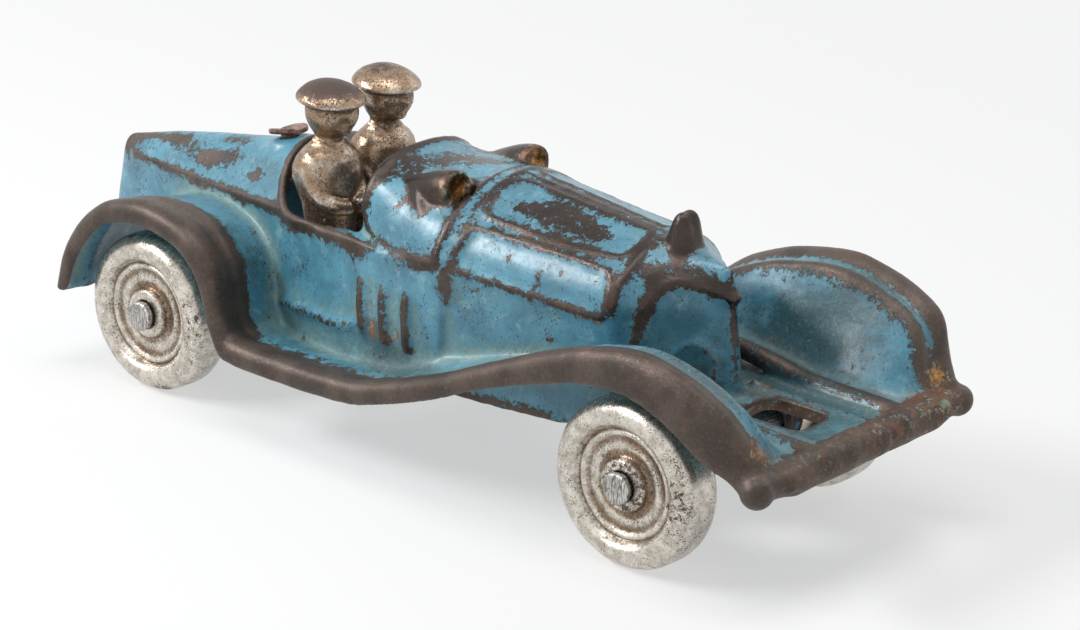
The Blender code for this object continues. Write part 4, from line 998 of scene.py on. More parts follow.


# The paint and the iron of the casting: sky blue enamel sprayed straight on the iron, chipped through to
# grey-brown metal on everything that stands out, with dust and old polish left in the corners, and painted
# shade in the corners and under the nose and wings.
class Wiring:
    """Short ways to lay and join the nodes of one tree."""

    def __init__(self, tree):
        self.tree = tree

    def node(self, kind, **settings):
        made = self.tree.nodes.new("ShaderNode" + kind)
        for name, value in settings.items():
            setattr(made, name, value)
        return made

    def join(self, source, target):
        self.tree.links.new(source, target)

    def put(self, target, value):
        """Gives a socket a value, or what another socket gives."""
        if isinstance(value, bpy.types.NodeSocket):
            self.join(value, target)
        else:
            target.default_value = value

    def math(self, operation, a, b=0.0, c=0.0):
        made = self.node("Math", operation=operation)
        for socket, value in zip(made.inputs, (a, b, c)):
            self.put(socket, value)
        return made.outputs[0]

    def noise(self, point, scale, detail=4.0, roughness=0.6, distortion=0.0):
        made = self.node("TexNoise")
        self.put(made.inputs["Vector"], point)
        for name, value in (("Scale", scale), ("Detail", detail), ("Roughness", roughness),
                            ("Distortion", distortion)):
            made.inputs[name].default_value = value
        return made.outputs["Fac"]

    def step(self, value, low, high, start=0.0, end=1.0):
        """Runs smoothly from start to end while value goes from low to high."""
        made = self.node("MapRange", interpolation_type="SMOOTHSTEP")
        for name, given in (("Value", value), ("From Min", low), ("From Max", high), ("To Min", start),
                            ("To Max", end)):
            self.put(made.inputs[name], given)
        return made.outputs["Result"]

    def mix(self, share, a, b):
        made = self.node("Mix", data_type="RGBA")
        self.put(made.inputs["Factor"], share)
        self.put(made.inputs[6], a)
        self.put(made.inputs[7], b)
        return made.outputs[2]

    def swayed(self, value, pattern, amount):
        """A value moved up and down by a pattern that runs from 0 to 1."""
        return self.math("MULTIPLY_ADD", self.math("SUBTRACT", pattern, 0.5), amount, value)

    def stained(self, colour, mask, strength, stain):
        """A colour with a stain laid over it where a mask is high."""
        return self.mix(self.math("MULTIPLY", mask, strength), colour, stain)

    def placed(self, group, point):
        """A group's node in this tree, reading a point in millimetres."""
        made = self.node("Group", node_tree=group)
        self.join(point, made.inputs["Point"])
        return made


def effect(name, takes=(), gives=("Roughness", "Metallic", "Height")):
    """A new shader group that takes a point and numbers, and gives a colour and numbers: its wiring, what
    it takes and what it gives."""
    tree = bpy.data.node_groups.new(name, "ShaderNodeTree")
    tree.interface.new_socket("Point", in_out="INPUT", socket_type="NodeSocketVector")
    tree.interface.new_socket("Color", in_out="OUTPUT", socket_type="NodeSocketColor")
    for in_out, labels in (("INPUT", takes), ("OUTPUT", gives)):
        for label in labels:
            tree.interface.new_socket(label, in_out=in_out, socket_type="NodeSocketFloat")
    take = tree.nodes.new("NodeGroupInput").outputs
    give = tree.nodes.new("NodeGroupOutput").inputs
    return Wiring(tree), take, give


def srgb(red, green, blue):
    """A colour written as it looks on screen, 0 to 255, as the linear values that nodes take."""
    return tuple((v / 255 / 12.92) if v < 10.5 else ((v / 255 + 0.055) / 1.055) ** 2.4
                 for v in (red, green, blue)) + (1.0,)


def old_iron_group():
    """Grey-brown worn iron: colour, roughness and height at a point given in millimetres."""
    w, take, give = effect("old_iron", gives=("Roughness", "Height"))
    point = take["Point"]
    broad, fine = w.noise(point, 0.16, 3, 0.5), w.noise(point, 1.9, 7, 0.74)
    grit = w.noise(point, 5.0, 3, 0.6)
    rust = w.step(w.noise(point, 0.55, 6, 0.7), 0.55, 0.68)
    colour = w.mix(w.step(broad, 0.35, 0.65), srgb(66, 56, 50), srgb(86, 74, 66))
    colour = w.stained(colour, rust, 0.5, srgb(112, 76, 52))
    colour = w.stained(colour, w.step(fine, 0.55, 0.68), 0.5, srgb(120, 108, 98))
    colour = w.stained(colour, w.step(fine, 0.45, 0.33), 0.7, srgb(46, 40, 38))
    w.join(colour, give["Color"])
    w.join(w.step(fine, 0.3, 0.75, 0.5, 0.34), give["Roughness"])
    w.join(w.math("ADD", w.math("MULTIPLY", fine, 0.8), w.math("MULTIPLY", grit, 0.3)), give["Height"])
    return w.tree


ENAMEL_WEAR = ("Ridge", "Swell", "Bare", "Rusty", "Grime_and_shade", "Polished")


def chips(w, take):
    """How worn the enamel is, where it is chipped through, and a pattern of pinholes."""
    point = take["Point"]
    jagged = w.noise(point, 0.66, 10, 0.76, 0.25)
    bitten = w.noise(point, 2.6, 4, 0.7)
    drift = w.noise(point, 0.09, 2, 0.5)
    wear = w.math("MULTIPLY_ADD", take["Ridge"], 0.9, take["Bare"])
    wear = w.math("MULTIPLY_ADD", take["Swell"], 0.25, wear)
    wear = w.swayed(wear, jagged, 2.1)
    wear = w.swayed(wear, bitten, 0.5)
    wear = w.swayed(wear, drift, 0.3)
    chipped = w.step(wear, 0.49, 0.51)
    # small chips and pinholes, crowded together in some places
    crowd = w.math("MULTIPLY", w.math("SUBTRACT", w.noise(point, 0.16, 3, 0.6, 0.3), 0.5), 0.45)
    nicks = w.math("ADD", crowd, w.noise(point, 0.9, 3, 0.6, 0.5))
    pins = w.math("ADD", crowd, w.noise(point, 2.4, 2, 0.5))
    return wear, w.math("MAXIMUM", chipped, w.step(nicks, 0.70, 0.71)), pins


def enamel_hue(w, take, wear, pins):
    """The enamel's colour with its haze, grime, painted shade and green dust, and where the dust lies."""
    point = take["Point"]
    hue = w.mix(w.step(w.noise(point, 0.14, 4, 0.55), 0.35, 0.65), srgb(62, 118, 140), srgb(84, 146, 168))
    patches = w.step(w.noise(point, 0.45, 6, 0.68), 0.48, 0.7)
    hue = w.stained(hue, patches, 0.5, srgb(70, 116, 120))
    haze = w.step(w.noise(point, 0.3, 7, 0.72, 0.4), 0.52, 0.7)
    hue = w.stained(hue, haze, 0.6, srgb(136, 176, 182))
    freckles = w.step(w.noise(point, 3.4, 4, 0.7), 0.56, 0.66)
    hue = w.stained(hue, freckles, 0.5, srgb(44, 86, 100))
    hue = w.stained(hue, w.step(pins, 0.65, 0.68), 0.85, srgb(42, 50, 54))
    # grime darkens the enamel just outside each chip
    hue = w.stained(hue, w.step(wear, 0.34, 0.49), 0.4, srgb(48, 86, 92))
    deep = w.math("MULTIPLY_ADD", take["Ridge"], -1.6, w.math("MULTIPLY", take["Swell"], -1.3))
    green = w.math("MULTIPLY", w.step(deep, 0.0, 0.3), w.step(w.noise(point, 0.7, 6, 0.7), 0.4, 0.62))
    hue = w.stained(hue, green, 0.6, srgb(92, 128, 120))
    dusty = w.math("MULTIPLY", w.step(deep, 0.1, 0.6), w.step(w.noise(point, 1.1, 8, 0.78), 0.36, 0.62))
    hue = w.stained(hue, dusty, 0.65, srgb(132, 148, 134))
    # painted shade: the enamel is darkened in the spots of grime and shade, where grime lies and where shade
    # falls, with pale grit and dark crust in them
    soot_and_shade = w.swayed(take["Grime_and_shade"], w.noise(point, 0.35, 7, 0.72), 1.6)
    hue = w.stained(hue, w.step(soot_and_shade, 0.2, 0.8), 0.82, srgb(44, 78, 84))
    grit = w.math("MULTIPLY", w.step(soot_and_shade, 0.4, 0.8), w.step(w.noise(point, 1.5, 8, 0.8, 0.6), 0.53, 0.62))
    hue = w.stained(hue, grit, 0.6, srgb(140, 148, 130))
    crust = w.math("MULTIPLY", w.step(soot_and_shade, 0.3, 0.8), w.step(w.noise(point, 2.2, 7, 0.78, 0.3), 0.44, 0.38))
    return w.stained(hue, crust, 0.75, srgb(52, 56, 50)), dusty


def rusted(w, take, colour):
    """A colour under spots of old varnish and orange rust, and where the rust and the varnish lie."""
    point = take["Point"]
    patchy = w.swayed(take["Rusty"], w.noise(point, 1.3, 6, 0.7), 1.6)
    rust = w.math("MULTIPLY", w.step(patchy, 0.4, 0.75), 0.85)
    ochre = w.mix(w.step(w.noise(point, 1.6, 6, 0.7), 0.35, 0.65), srgb(128, 78, 38), srgb(206, 158, 88))
    faint = w.math("SUBTRACT", w.step(take["Rusty"], 0.1, 0.3), w.step(take["Rusty"], 0.55, 0.75))
    brown = w.mix(w.noise(point, 1.6, 5, 0.7), srgb(84, 62, 50), srgb(126, 88, 64))
    for spots, varnish in ((w.step(w.noise(point, 0.4, 8, 0.72), 0.47, 0.56), brown),
                           (w.step(w.noise(point, 0.62, 8, 0.75, 0.4), 0.55, 0.60), srgb(132, 140, 122))):
        colour = w.mix(w.math("MULTIPLY", faint, spots), colour, varnish)
    return w.mix(rust, colour, ochre), rust, faint


def worn_paint_group(iron):
    """Chipped enamel over iron: where the paint is, and colour, roughness, metal and height."""
    w, take, give = effect("worn_paint", ENAMEL_WEAR, ("Roughness", "Metallic", "Height", "Paint"))
    point = take["Point"]
    metal = w.placed(iron, point)
    wear, bare, pins = chips(w, take)
    hue, dusty = enamel_hue(w, take, wear, pins)
    low_iron = w.step(metal.outputs["Height"], 0.8, 0.3, 0.6, 1.0)
    polish = w.math("MULTIPLY", w.step(take["Polished"], 0.1, 0.5), low_iron)
    worn = w.stained(metal.outputs["Color"], polish, 0.6, srgb(54, 51, 51))
    colour, rust, faint = rusted(w, take, w.mix(bare, hue, worn))
    w.join(colour, give["Color"])
    paint = w.math("MULTIPLY", w.math("SUBTRACT", 1.0, bare), w.math("SUBTRACT", 1.0, rust))
    w.join(paint, give["Paint"])
    gloss = w.math("MULTIPLY_ADD", dusty, 0.25, w.step(w.noise(point, 0.9, 6, 0.7), 0.3, 0.7, 0.3, 0.5))
    shine = w.math("MULTIPLY_ADD", polish, -0.28, metal.outputs["Roughness"])
    roughness = w.math("MULTIPLY", gloss, w.math("SUBTRACT", 1.0, bare))
    roughness = w.math("ADD", roughness, w.math("MULTIPLY", shine, bare))
    w.join(w.math("MULTIPLY_ADD", faint, 0.16, roughness), give["Roughness"])
    w.join(w.math("MULTIPLY", bare, w.math("MULTIPLY_ADD", polish, 0.45, 0.5)), give["Metallic"])
    step_down = w.step(wear, 0.46, 0.53, 1.0, 0.0)
    height = w.math("MULTIPLY_ADD", w.noise(point, 0.8, 4, 0.55), 0.55, step_down)
    pitted = w.math("MULTIPLY", metal.outputs["Height"], w.math("MULTIPLY_ADD", polish, 0.7, 0.7))
    w.join(w.math("MULTIPLY_ADD", pitted, bare, height), give["Height"])
    return w.tree


def surface(name, group, attributes=(), coat=0.0, depth=0.05, values=()):
    """A material whose Principled shader takes what a group gives, with bumps depth millimetres high."""
    material = bpy.data.materials.new(name)
    material.use_nodes = True
    tree = material.node_tree
    w = Wiring(tree)
    shader = tree.nodes["Principled BSDF"]
    place = w.node("TexCoord").outputs["Object"]
    scaled = w.node("VectorMath", operation="SCALE")
    w.join(place, scaled.inputs[0])
    scaled.inputs["Scale"].default_value = 1 / MM
    made = w.placed(group, scaled.outputs[0])
    for label in attributes:
        spot = w.node("Attribute", attribute_name=label.lower())
        w.join(spot.outputs["Fac"], made.inputs[label])
    for label, value in values:
        made.inputs[label].default_value = value
    for label in ("Color", "Roughness", "Metallic"):
        if label in made.outputs:
            w.join(made.outputs[label], shader.inputs["Base Color" if label == "Color" else label])
    bump = w.node("Bump")
    bump.inputs["Distance"].default_value = depth * MM
    w.join(made.outputs["Height"], bump.inputs["Height"])
    w.join(bump.outputs[0], shader.inputs["Normal"])
    if coat:
        shader.inputs["Coat Roughness"].default_value = 0.22
        w.join(w.math("MULTIPLY", made.outputs["Paint"], coat), shader.inputs["Coat Weight"])
    return material


old_iron = old_iron_group()
body.data.materials.clear()
enamel = surface("chipped_blue_enamel", worn_paint_group(old_iron), ENAMEL_WEAR, coat=0.25, depth=0.1)
body.data.materials.append(enamel)


# The driver and the passenger: one small iron casting of two figures in flat caps on a seat plate, plated
# with nickel that has gone brown and speckled. A strap behind the plate runs up under the deck's rivet.
RIDER_X = 7.0
RIDER_Y = COWL_REAR + 14.6
RIDER_TOP = 45.4
SEAT_THICKNESS = 2.2
STRAP_HALF_WIDTH = 3.4
STRAP_THICKNESS = 2.0
# depth below the cap's top, shift rearwards, half width and half depth
RIDER = ((0.0, 0.3, 0.4, 0.4), (0.12, 0.3, 1.6, 1.6), (0.5, 0.25, 3.0, 3.1), (1.2, 0.15, 4.4, 4.6),
         (2.0, 0.05, 5.4, 5.6), (2.7, 0.0, 6.0, 6.2), (3.1, -0.05, 6.2, 6.4), (3.45, -0.1, 6.1, 6.3),
         (3.7, -0.1, 5.4, 5.6), (3.9, -0.1, 4.7, 4.9), (4.3, -0.15, 4.45, 4.7), (5.4, -0.2, 4.65, 4.95),
         (6.6, -0.25, 4.5, 4.8), (7.8, -0.2, 4.0, 4.3), (8.8, 0.0, 3.3, 3.6), (9.6, 0.25, 2.6, 2.9),
         (10.2, 0.4, 2.35, 2.6), (10.9, 0.5, 2.9, 2.8), (11.6, 0.55, 4.0, 3.4), (12.6, 0.6, 5.3, 4.3),
         (13.8, 0.7, 6.15, 5.1), (15.6, 0.9, 6.7, 5.7), (17.4, 0.9, 6.6, 5.7), (19.4, 0.65, 6.1, 5.4),
         (22.0, 0.3, 5.1, 4.9), (25.0, 0.1, 4.7, 4.7), (28.0, 0.0, 4.6, 4.6), (34.3, 0.0, 4.6, 4.6))
RIDER_GRAIN = 0.24


def limb(side, knots, girths):
    """A bar on one rider from one girth to another, through (aside, rearwards, below the cap's top) knots."""
    line = [(side * RIDER_X + aside, RIDER_Y + y, RIDER_TOP - drop) for aside, y, drop in knots]
    line = drawn(line, 0.5)
    start, end = girths
    return tube(line, [start + (end - start) * i / (len(line) - 1) for i in range(len(line))], 18)


forms = []
front, rear = COWL_REAR + 5, RIDER_Y + 8
front_half = side_at(front, SEAT_TOP) - WALL - 2.0
rear_half = side_at(rear, SEAT_TOP) - WALL - 2.0
plate = [(-front_half, front), (front_half, front), (rear_half, rear), (-rear_half, rear)]
forms.append(loft([[(x, y, z) for x, y in plate] for z in (SEAT_TOP - SEAT_THICKNESS, SEAT_TOP)]))
for side in SIDES:
    rings = []
    for drop, shift, wide, deep in RIDER:
        tilt = 0.05 if drop < 4 else 0.0        # the caps sit a little forward
        rings.append([(side * RIDER_X + wide * cos(a), RIDER_Y + shift + deep * sin(a),
                       RIDER_TOP - 0.25 - drop + tilt * deep * sin(a)) for a in round_turns(48)])
    forms.append(loft(rings))
    # both arms bent to the wheel or the lap, and the lapels of the coat
    for hand in SIDES:
        arm = [(hand * 3.6, 1.2, 13.4), (hand * 5.2, 0.6, 16.2), (hand * 5.0, -1.6, 19.6),
               (hand * 3.4, -4.2, 21.6), (hand * 0.9, -5.6, 22.2)]
        forms.append(limb(side, arm, (1.75, 1.35)))
        lapel = [(hand * 2.6, 1.8, 11.0), (hand * 2.4, -1.0, 11.6), (hand * 1.2, -3.4, 13.6),
                 (hand * 0.1, -4.8, 16.4)]
        forms.append(limb(side, lapel, (0.75, 0.5)))
    # nose and chin
    forms.append(turned_ball((side * RIDER_X, RIDER_Y - 4.7, RIDER_TOP - 6.4), 0.85, (0.8, 1, 1.3)))
    forms.append(turned_ball((side * RIDER_X, RIDER_Y - 3.4, RIDER_TOP - 8.6), 1.25, (1.1, 0.9, 0.8)))
back_y = RIDER_Y + 1.5
forms.append(block((-RIDER_X, back_y, SEAT_TOP - 1), (RIDER_X, back_y + 2.2, RIDER_TOP - 16.5)))
strap_foot = -RIVET_BOSS_DEPTH - STRAP_THICKNESS
under_deck = [deck @ Vector((0, -3.4, strap_foot)), deck @ Vector((0, 4.2, strap_foot)),
              deck @ Vector((0, 4.2, -RIVET_BOSS_DEPTH)), deck @ Vector((0, -4.4, -RIVET_BOSS_DEPTH))]
profile = [(rear - 2.5, SEAT_TOP - SEAT_THICKNESS + 0.2), (rear, SEAT_TOP - SEAT_THICKNESS + 0.2)]
profile += [(spot.y, spot.z) for spot in under_deck]
forms.append(loft([[(x, y, z) for y, z in profile] for x in (-STRAP_HALF_WIDTH, STRAP_HALF_WIDTH)]))
pair_mesh = remeshed(solid_mesh(forms), RIDER_GRAIN)
pair_mesh = remeshed(without(pair_mesh, solid_mesh([on_deck(RIVET_BORE)])), RIDER_GRAIN)
eased(pair_mesh, 9, 0.7, 0.15)
swelled(pair_mesh, (0.05, 2.6, 5.0))


def finished(name, mesh, node, rides_on, material, wear_rounds=10, gone_and_shade=()):
    """The object of a finished piece, with its ridges, creases, bare spots and painted shade stored for its
    material.
    """
    stored(mesh, "gone_and_shade", spotted(read_points(mesh), gone_and_shade))
    for label, rounds in (("ridge", wear_rounds), ("swell", wear_rounds * 6)):
        stored(mesh, label, relief(mesh, rounds)[0])
    item = linked(name, in_frame(mesh))
    item.data.materials.clear()
    item.data.materials.append(material)
    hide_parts(node)
    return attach(item, rides_on)


NICKEL_WEAR = ("Ridge", "Swell", "Gone_and_shade")


def old_nickel_group():
    """Nickel plate turned dull and speckled: bright on what stands out, brown in the hollows, and dark where
    the plating is worn through and where shade is painted.
    """
    w, take, give = effect("old_nickel", (*NICKEL_WEAR, "Tarnish"))
    point = take["Point"]
    broad, fine = w.noise(point, 0.25, 4, 0.6), w.noise(point, 1.7, 7, 0.75)
    specks = w.noise(point, 3.2, 4, 0.7)
    brown = w.swayed(take["Tarnish"], broad, 1.3)
    brown = w.math("MULTIPLY_ADD", take["Ridge"], -1.8, w.math("MULTIPLY_ADD", take["Gone_and_shade"], 0.55, brown))
    brown = w.math("MULTIPLY_ADD", take["Swell"], -0.25, brown)
    golden = w.step(w.swayed(brown, fine, 0.7), 0.36, 0.85)
    dark = w.step(w.swayed(brown, w.noise(point, 0.8, 7, 0.62), 1.3), 0.86, 1.4)
    crowd = w.math("MULTIPLY_ADD", w.noise(point, 0.22, 3, 0.6, 0.4), 0.28, w.math("MULTIPLY", brown, 0.05))
    pits = w.step(w.math("ADD", crowd, specks), 0.735, 0.77)
    # dark where the plating is worn through, and on the front of each tyre partly painted shade
    gone_and_shade = w.step(w.swayed(take["Gone_and_shade"], w.noise(point, 0.85, 8, 0.75, 0.3), 2.2), 0.52, 0.56)
    colour = w.mix(w.step(w.noise(point, 0.6, 6, 0.7), 0.35, 0.65), srgb(222, 216, 206), srgb(182, 174, 162))
    colour = w.stained(colour, golden, 0.85, srgb(146, 117, 88))
    colour = w.stained(colour, dark, 0.85, srgb(88, 68, 50))
    # dirt that fills grooves and creases
    flecks = w.swayed(take["Ridge"], fine, 0.8)
    creases = w.step(flecks, -0.06, -0.14)
    colour = w.stained(colour, creases, 0.6, srgb(86, 70, 58))
    colour = w.stained(colour, pits, 0.8, srgb(54, 44, 38))
    colour = w.stained(colour, gone_and_shade, 0.92, srgb(78, 62, 56))
    w.join(colour, give["Color"])
    dull = w.math("MAXIMUM", w.math("MAXIMUM", dark, pits), w.math("MULTIPLY", gone_and_shade, 0.6))
    w.join(w.math("MULTIPLY_ADD", dull, 0.22, w.step(fine, 0.3, 0.7, 0.18, 0.36)), give["Roughness"])
    w.join(w.math("MULTIPLY_ADD", dull, -0.55, 0.92), give["Metallic"])
    height = w.math("ADD", w.math("MULTIPLY", fine, 0.6), w.math("MULTIPLY", dull, -0.4))
    w.join(height, give["Height"])
    return w.tree


old_nickel = old_nickel_group()
# where the plating is gone: caps and backs
PLATE_GONE = (((-RIDER_X, RIDER_Y + 0.8, RIDER_TOP - 0.2), (6.8, 6.8, 3.2), 1.5),
              ((RIDER_X, RIDER_Y + 0.5, RIDER_TOP - 0.2), (5.2, 5.4, 2.0), 0.5),
              ((RIDER_X - 2.5, RIDER_Y - 4.5, RIDER_TOP - 6.5), (3.0, 2.5, 2.6), 0.4),
              ((-RIDER_X, RIDER_Y - 3.0, RIDER_TOP - 27.0), (6.0, 5.0, 5.0), 0.45),
              ((RIDER_X, RIDER_Y - 3.0, RIDER_TOP - 20.0), (6.0, 4.0, 5.0), 0.4))
browned_nickel = surface("browned_nickel", old_nickel, NICKEL_WEAR, depth=0.07, values=(("Tarnish", 0.84),))
finished("driver_and_passenger_figures", pair_mesh, "driver_and_passenger", "car",
         browned_nickel, gone_and_shade=PLATE_GONE)


# The rivet behind the cockpit: a split iron pin whose two leaves are spread flat on the deck's round pad.
# It holds the riders' strap against the boss below.
RIVET_HEAD = 3.3
RIVET_LEAF = 0.9
RIVET_GRAIN = 0.13
under = strap_foot - 2 * FIT
above = RIVET_PAD + FIT
forms = [on_deck([(0.1, above + 0.5), (RIVET_RADIUS, above + 0.5), (RIVET_RADIUS, under),
                  (RIVET_HEAD * 0.8, under), (RIVET_HEAD * 0.78, under - 0.7),
                  (RIVET_HEAD * 0.6, under - 1.25), (0.1, under - 1.4)])]
for side in SIDES:
    outline = [(side * 0.22, -0.6), (side * 0.35, -RIVET_HEAD * 0.82)]
    for i in range(17):
        angle = radians(-74 + 148 * i / 16)
        outline.append((side * (0.45 + (RIVET_HEAD - 0.1) * cos(angle)), RIVET_HEAD * sin(angle)))
    outline += [(side * 0.35, RIVET_HEAD * 0.82), (side * 0.22, 0.6)]
    rise = 0.3 if side < 0 else 0.16
    forms.append(loft([[tuple(deck @ Vector((x, y, z + rise * abs(x)))) for x, y in outline]
                       for z in (above, above + RIVET_LEAF)]))
rivet_mesh = remeshed(solid_mesh(forms), RIVET_GRAIN)
eased(rivet_mesh, 5, 0.5, 0.3)


def browned_iron_group(iron):
    """Bare iron browned by age, redder than the casting's worn edges."""
    w, take, give = effect("browned_iron")
    metal = w.placed(iron, take["Point"])
    rust = w.step(w.noise(take["Point"], 0.9, 5, 0.65), 0.35, 0.62)
    colour = w.stained(metal.outputs["Color"], rust, 0.8, srgb(176, 132, 116))
    w.join(colour, give["Color"])
    w.join(w.math("ADD", metal.outputs["Roughness"], 0.08), give["Roughness"])
    w.join(w.math("MULTIPLY_ADD", rust, -0.3, 0.4), give["Metallic"])
    w.join(metal.outputs["Height"], give["Height"])
    return w.tree


finished("deck_rivet_leaves", rivet_mesh, "deck_rivet", "car",
         surface("browned_rivet_iron", browned_iron_group(old_iron), depth=0.06))


# The axles: two plain steel rods, cut with shears and hammered over at both ends, so that each end shows
# a torn, striated face with a burr.
PEEN_RADIUS = 2.8
PEEN_HEIGHT = 1.5
HUB_SINK = 0.8


def turned_across(profile, side, axle_y, sides=96):
    """Vertices and faces of a form turned about an axle, from (radius, outward distance) points."""
    return loft([[(side * x, axle_y + r * cos(a), r * sin(a)) for a in round_turns(sides)]
                 for r, x in profile])


def sheared_steel_group():
    """Cut and hammered rod: bright scored metal with a little brown in the scores."""
    w, take, give = effect("sheared_steel", ("Ridge",))
    drawn_out = w.node("Mapping")
    w.join(take["Point"], drawn_out.inputs["Vector"])
    drawn_out.inputs["Rotation"].default_value = (radians(28), 0, 0)
    drawn_out.inputs["Scale"].default_value = (0.4, 3.2, 0.35)
    scores = w.noise(drawn_out.outputs[0], 1.6, 5, 0.6)
    hollows = w.math("MULTIPLY_ADD", take["Ridge"], -2.0, w.noise(take["Point"], 1.6, 6, 0.7))
    grime = w.step(hollows, 0.5, 0.68)
    colour = w.mix(w.step(scores, 0.38, 0.6), srgb(118, 112, 108), srgb(206, 204, 200))
    w.join(w.stained(colour, grime, 0.75, srgb(70, 58, 50)), give["Color"])
    w.join(w.step(scores, 0.3, 0.7, 0.42, 0.24), give["Roughness"])
    w.join(w.math("MULTIPLY_ADD", grime, -0.5, 0.95), give["Metallic"])
    w.join(scores, give["Height"])
    return w.tree


steel = surface("sheared_axle_steel", sheared_steel_group(), ("Ridge",), depth=0.12)
tip = TYRE_FACE - HUB_SINK + FIT
for end, axle_y in (("front", 0.0), ("rear", WHEELBASE)):
    half_rod = [(r * (PEEN_RADIUS - 0.35), PEEN_HEIGHT - 0.06) for r in (0.04, 0.2, 0.4, 0.6, 0.8, 0.92)]
    half_rod += [(PEEN_RADIUS - 0.28, PEEN_HEIGHT - 0.12), (PEEN_RADIUS - 0.08, PEEN_HEIGHT - 0.32),
                 (PEEN_RADIUS, PEEN_HEIGHT - 0.6), (PEEN_RADIUS - 0.02, 0.4), (PEEN_RADIUS - 0.12, 0.12),
                 (PEEN_RADIUS - 0.3, 0.0), (AXLE_RADIUS, 0.0)]
    rod = [(r, tip + h) for r, h in half_rod] + [(AXLE_RADIUS, x) for x in places(tip - 1, 1 - tip, 2.0)]
    rod += [(r, -tip - h) for r, h in reversed(half_rod)]
    axle_points, axle_faces = turned_across(rod, 1, axle_y)
    torn = []
    for x, y, z in axle_points:
        reach = abs(x) - tip
        if reach > 0.9:         # the sheared face: a step across it and a few scores
            across = (y - axle_y) * cos(0.5) + z * sin(0.5)
            drop = 0.16 / (1 + np.exp(-6 * (across - 0.5))) + 0.05 * sin(7 * across)
            drop += 0.03 * sin(17 * across + 1)
            x -= (1 if x > 0 else -1) * max(0.0, drop)
        burr = 1 + 0.035 * sin(3 * atan2(z, y - axle_y) + 1) + 0.02 * sin(7 * atan2(z, y - axle_y))
        if 0.1 < reach:
            y, z = axle_y + (y - axle_y) * burr * 0.965, z * burr * 0.965
        torn.append((x, y, z))
    rod_mesh = solid_mesh([(torn, axle_faces)])
    finished(f"{end}_axle_rod", rod_mesh, f"{end}_axle", f"{end}_axle", steel, 3)


# The wheels: four nickelled iron discs, each cast in one piece with a fat round tyre, a groove inside it,
# and a raised hub with a long boss behind that runs against the axle's lug.
TYRE_WIDTH = 9.2
RING_RADIUS = 9.3
HUB_RADIUS = 4.5


def arc(centre, radius, start, end, steps):
    """Points round an arc in a profile, angles in degrees."""
    return [(centre[0] + radius * cos(radians(between(start, end, i / steps))),
             centre[1] + radius * sin(radians(between(start, end, i / steps)))) for i in range(steps + 1)]


def wheel_profile(rounding=3.2):
    """Radius and height of a wheel's outline, height 0 at the tyre's outer plane and falling inwards."""
    outline = [(BORE_RADIUS, -HUB_SINK - 0.25), (BORE_RADIUS + 0.15, -HUB_SINK - 0.05),
               (BORE_RADIUS + 0.4, -HUB_SINK), (HUB_RADIUS - 0.9, -HUB_SINK)]
    outline += arc((HUB_RADIUS - 0.7, -HUB_SINK - 0.7), 0.7, 80, 0, 5)
    outline += [(HUB_RADIUS + 0.02, -1.9), (HUB_RADIUS + 0.2, -2.15), (HUB_RADIUS + 0.6, -2.25)]
    # a shallow raised ring half way out on the disc
    outline += [(HUB_RADIUS + 1.3, -2.2), (HUB_RADIUS + 1.7, -2.02), (HUB_RADIUS + 2.1, -1.98),
                (HUB_RADIUS + 2.5, -2.05)]
    # the lip and the narrow groove inside the tyre
    outline += [(RING_RADIUS - 1.6, -2.1), (RING_RADIUS - 1.1, -1.86), (RING_RADIUS - 0.7, -1.5),
                (RING_RADIUS - 0.35, -1.42), (RING_RADIUS - 0.1, -1.62), (RING_RADIUS + 0.08, -1.86),
                (RING_RADIUS + 0.25, -1.7), (RING_RADIUS + 0.5, -1.1), (RING_RADIUS + 0.8, -0.62),
                (RING_RADIUS + 1.15, -0.3), (RING_RADIUS + 1.6, -0.08)]
    outline += arc((WHEEL_RADIUS - rounding, -rounding), rounding, 90, 0, 12)
    outline += [(WHEEL_RADIUS, -TYRE_WIDTH / 2)]
    outline += arc((WHEEL_RADIUS - rounding, -TYRE_WIDTH + rounding), rounding, 0, -90, 10)
    outline += [(RING_RADIUS + 0.6, -TYRE_WIDTH), (RING_RADIUS, -TYRE_WIDTH + 0.2),
                (RING_RADIUS - 0.6, -TYRE_WIDTH + 1.4), (RING_RADIUS - 1, -TYRE_WIDTH + 2.3),
                (RING_RADIUS - 1.8, -TYRE_WIDTH + 2.5), (HUB_RADIUS + 1, -TYRE_WIDTH + 2.7),
                (HUB_RADIUS, -TYRE_WIDTH + 2.4), (HUB_RADIUS - 0.05, -TYRE_WIDTH + 1.0),
                (HUB_RADIUS - 0.2, -HUB_REACH + 0.3), (HUB_RADIUS - 0.5, -HUB_REACH),
                (BORE_RADIUS, -HUB_REACH)]
    return outline


def wheel_form(side, axle_y, seed, sides=128):
    """A ring of turned profiles joined end to end, so that the wheel is bored through."""
    outline = wheel_profile()
    count = len(outline)
    points, faces = [], []
    for a in round_turns(sides):
        for r, h in outline:
            point = Vector((side * (TYRE_FACE + h), axle_y + r * cos(a), r * sin(a)))
            # the mould was never quite true
            ripple = 0.05 * noise.noise(point / 3.5 + Vector((seed, 0, 0))) + 0.025 * noise.noise(point / 1.3)
            if r > HUB_RADIUS + 0.5:
                point += Vector((side * (ripple - 0.05), ripple * cos(a), ripple * sin(a)))
            points.append(tuple(point))
    for i in range(sides):
        j = (i + 1) % sides
        for k in range(count):
            m = (k + 1) % count
            faces.append((i * count + k, i * count + m, j * count + m, j * count + k))
    return points, faces


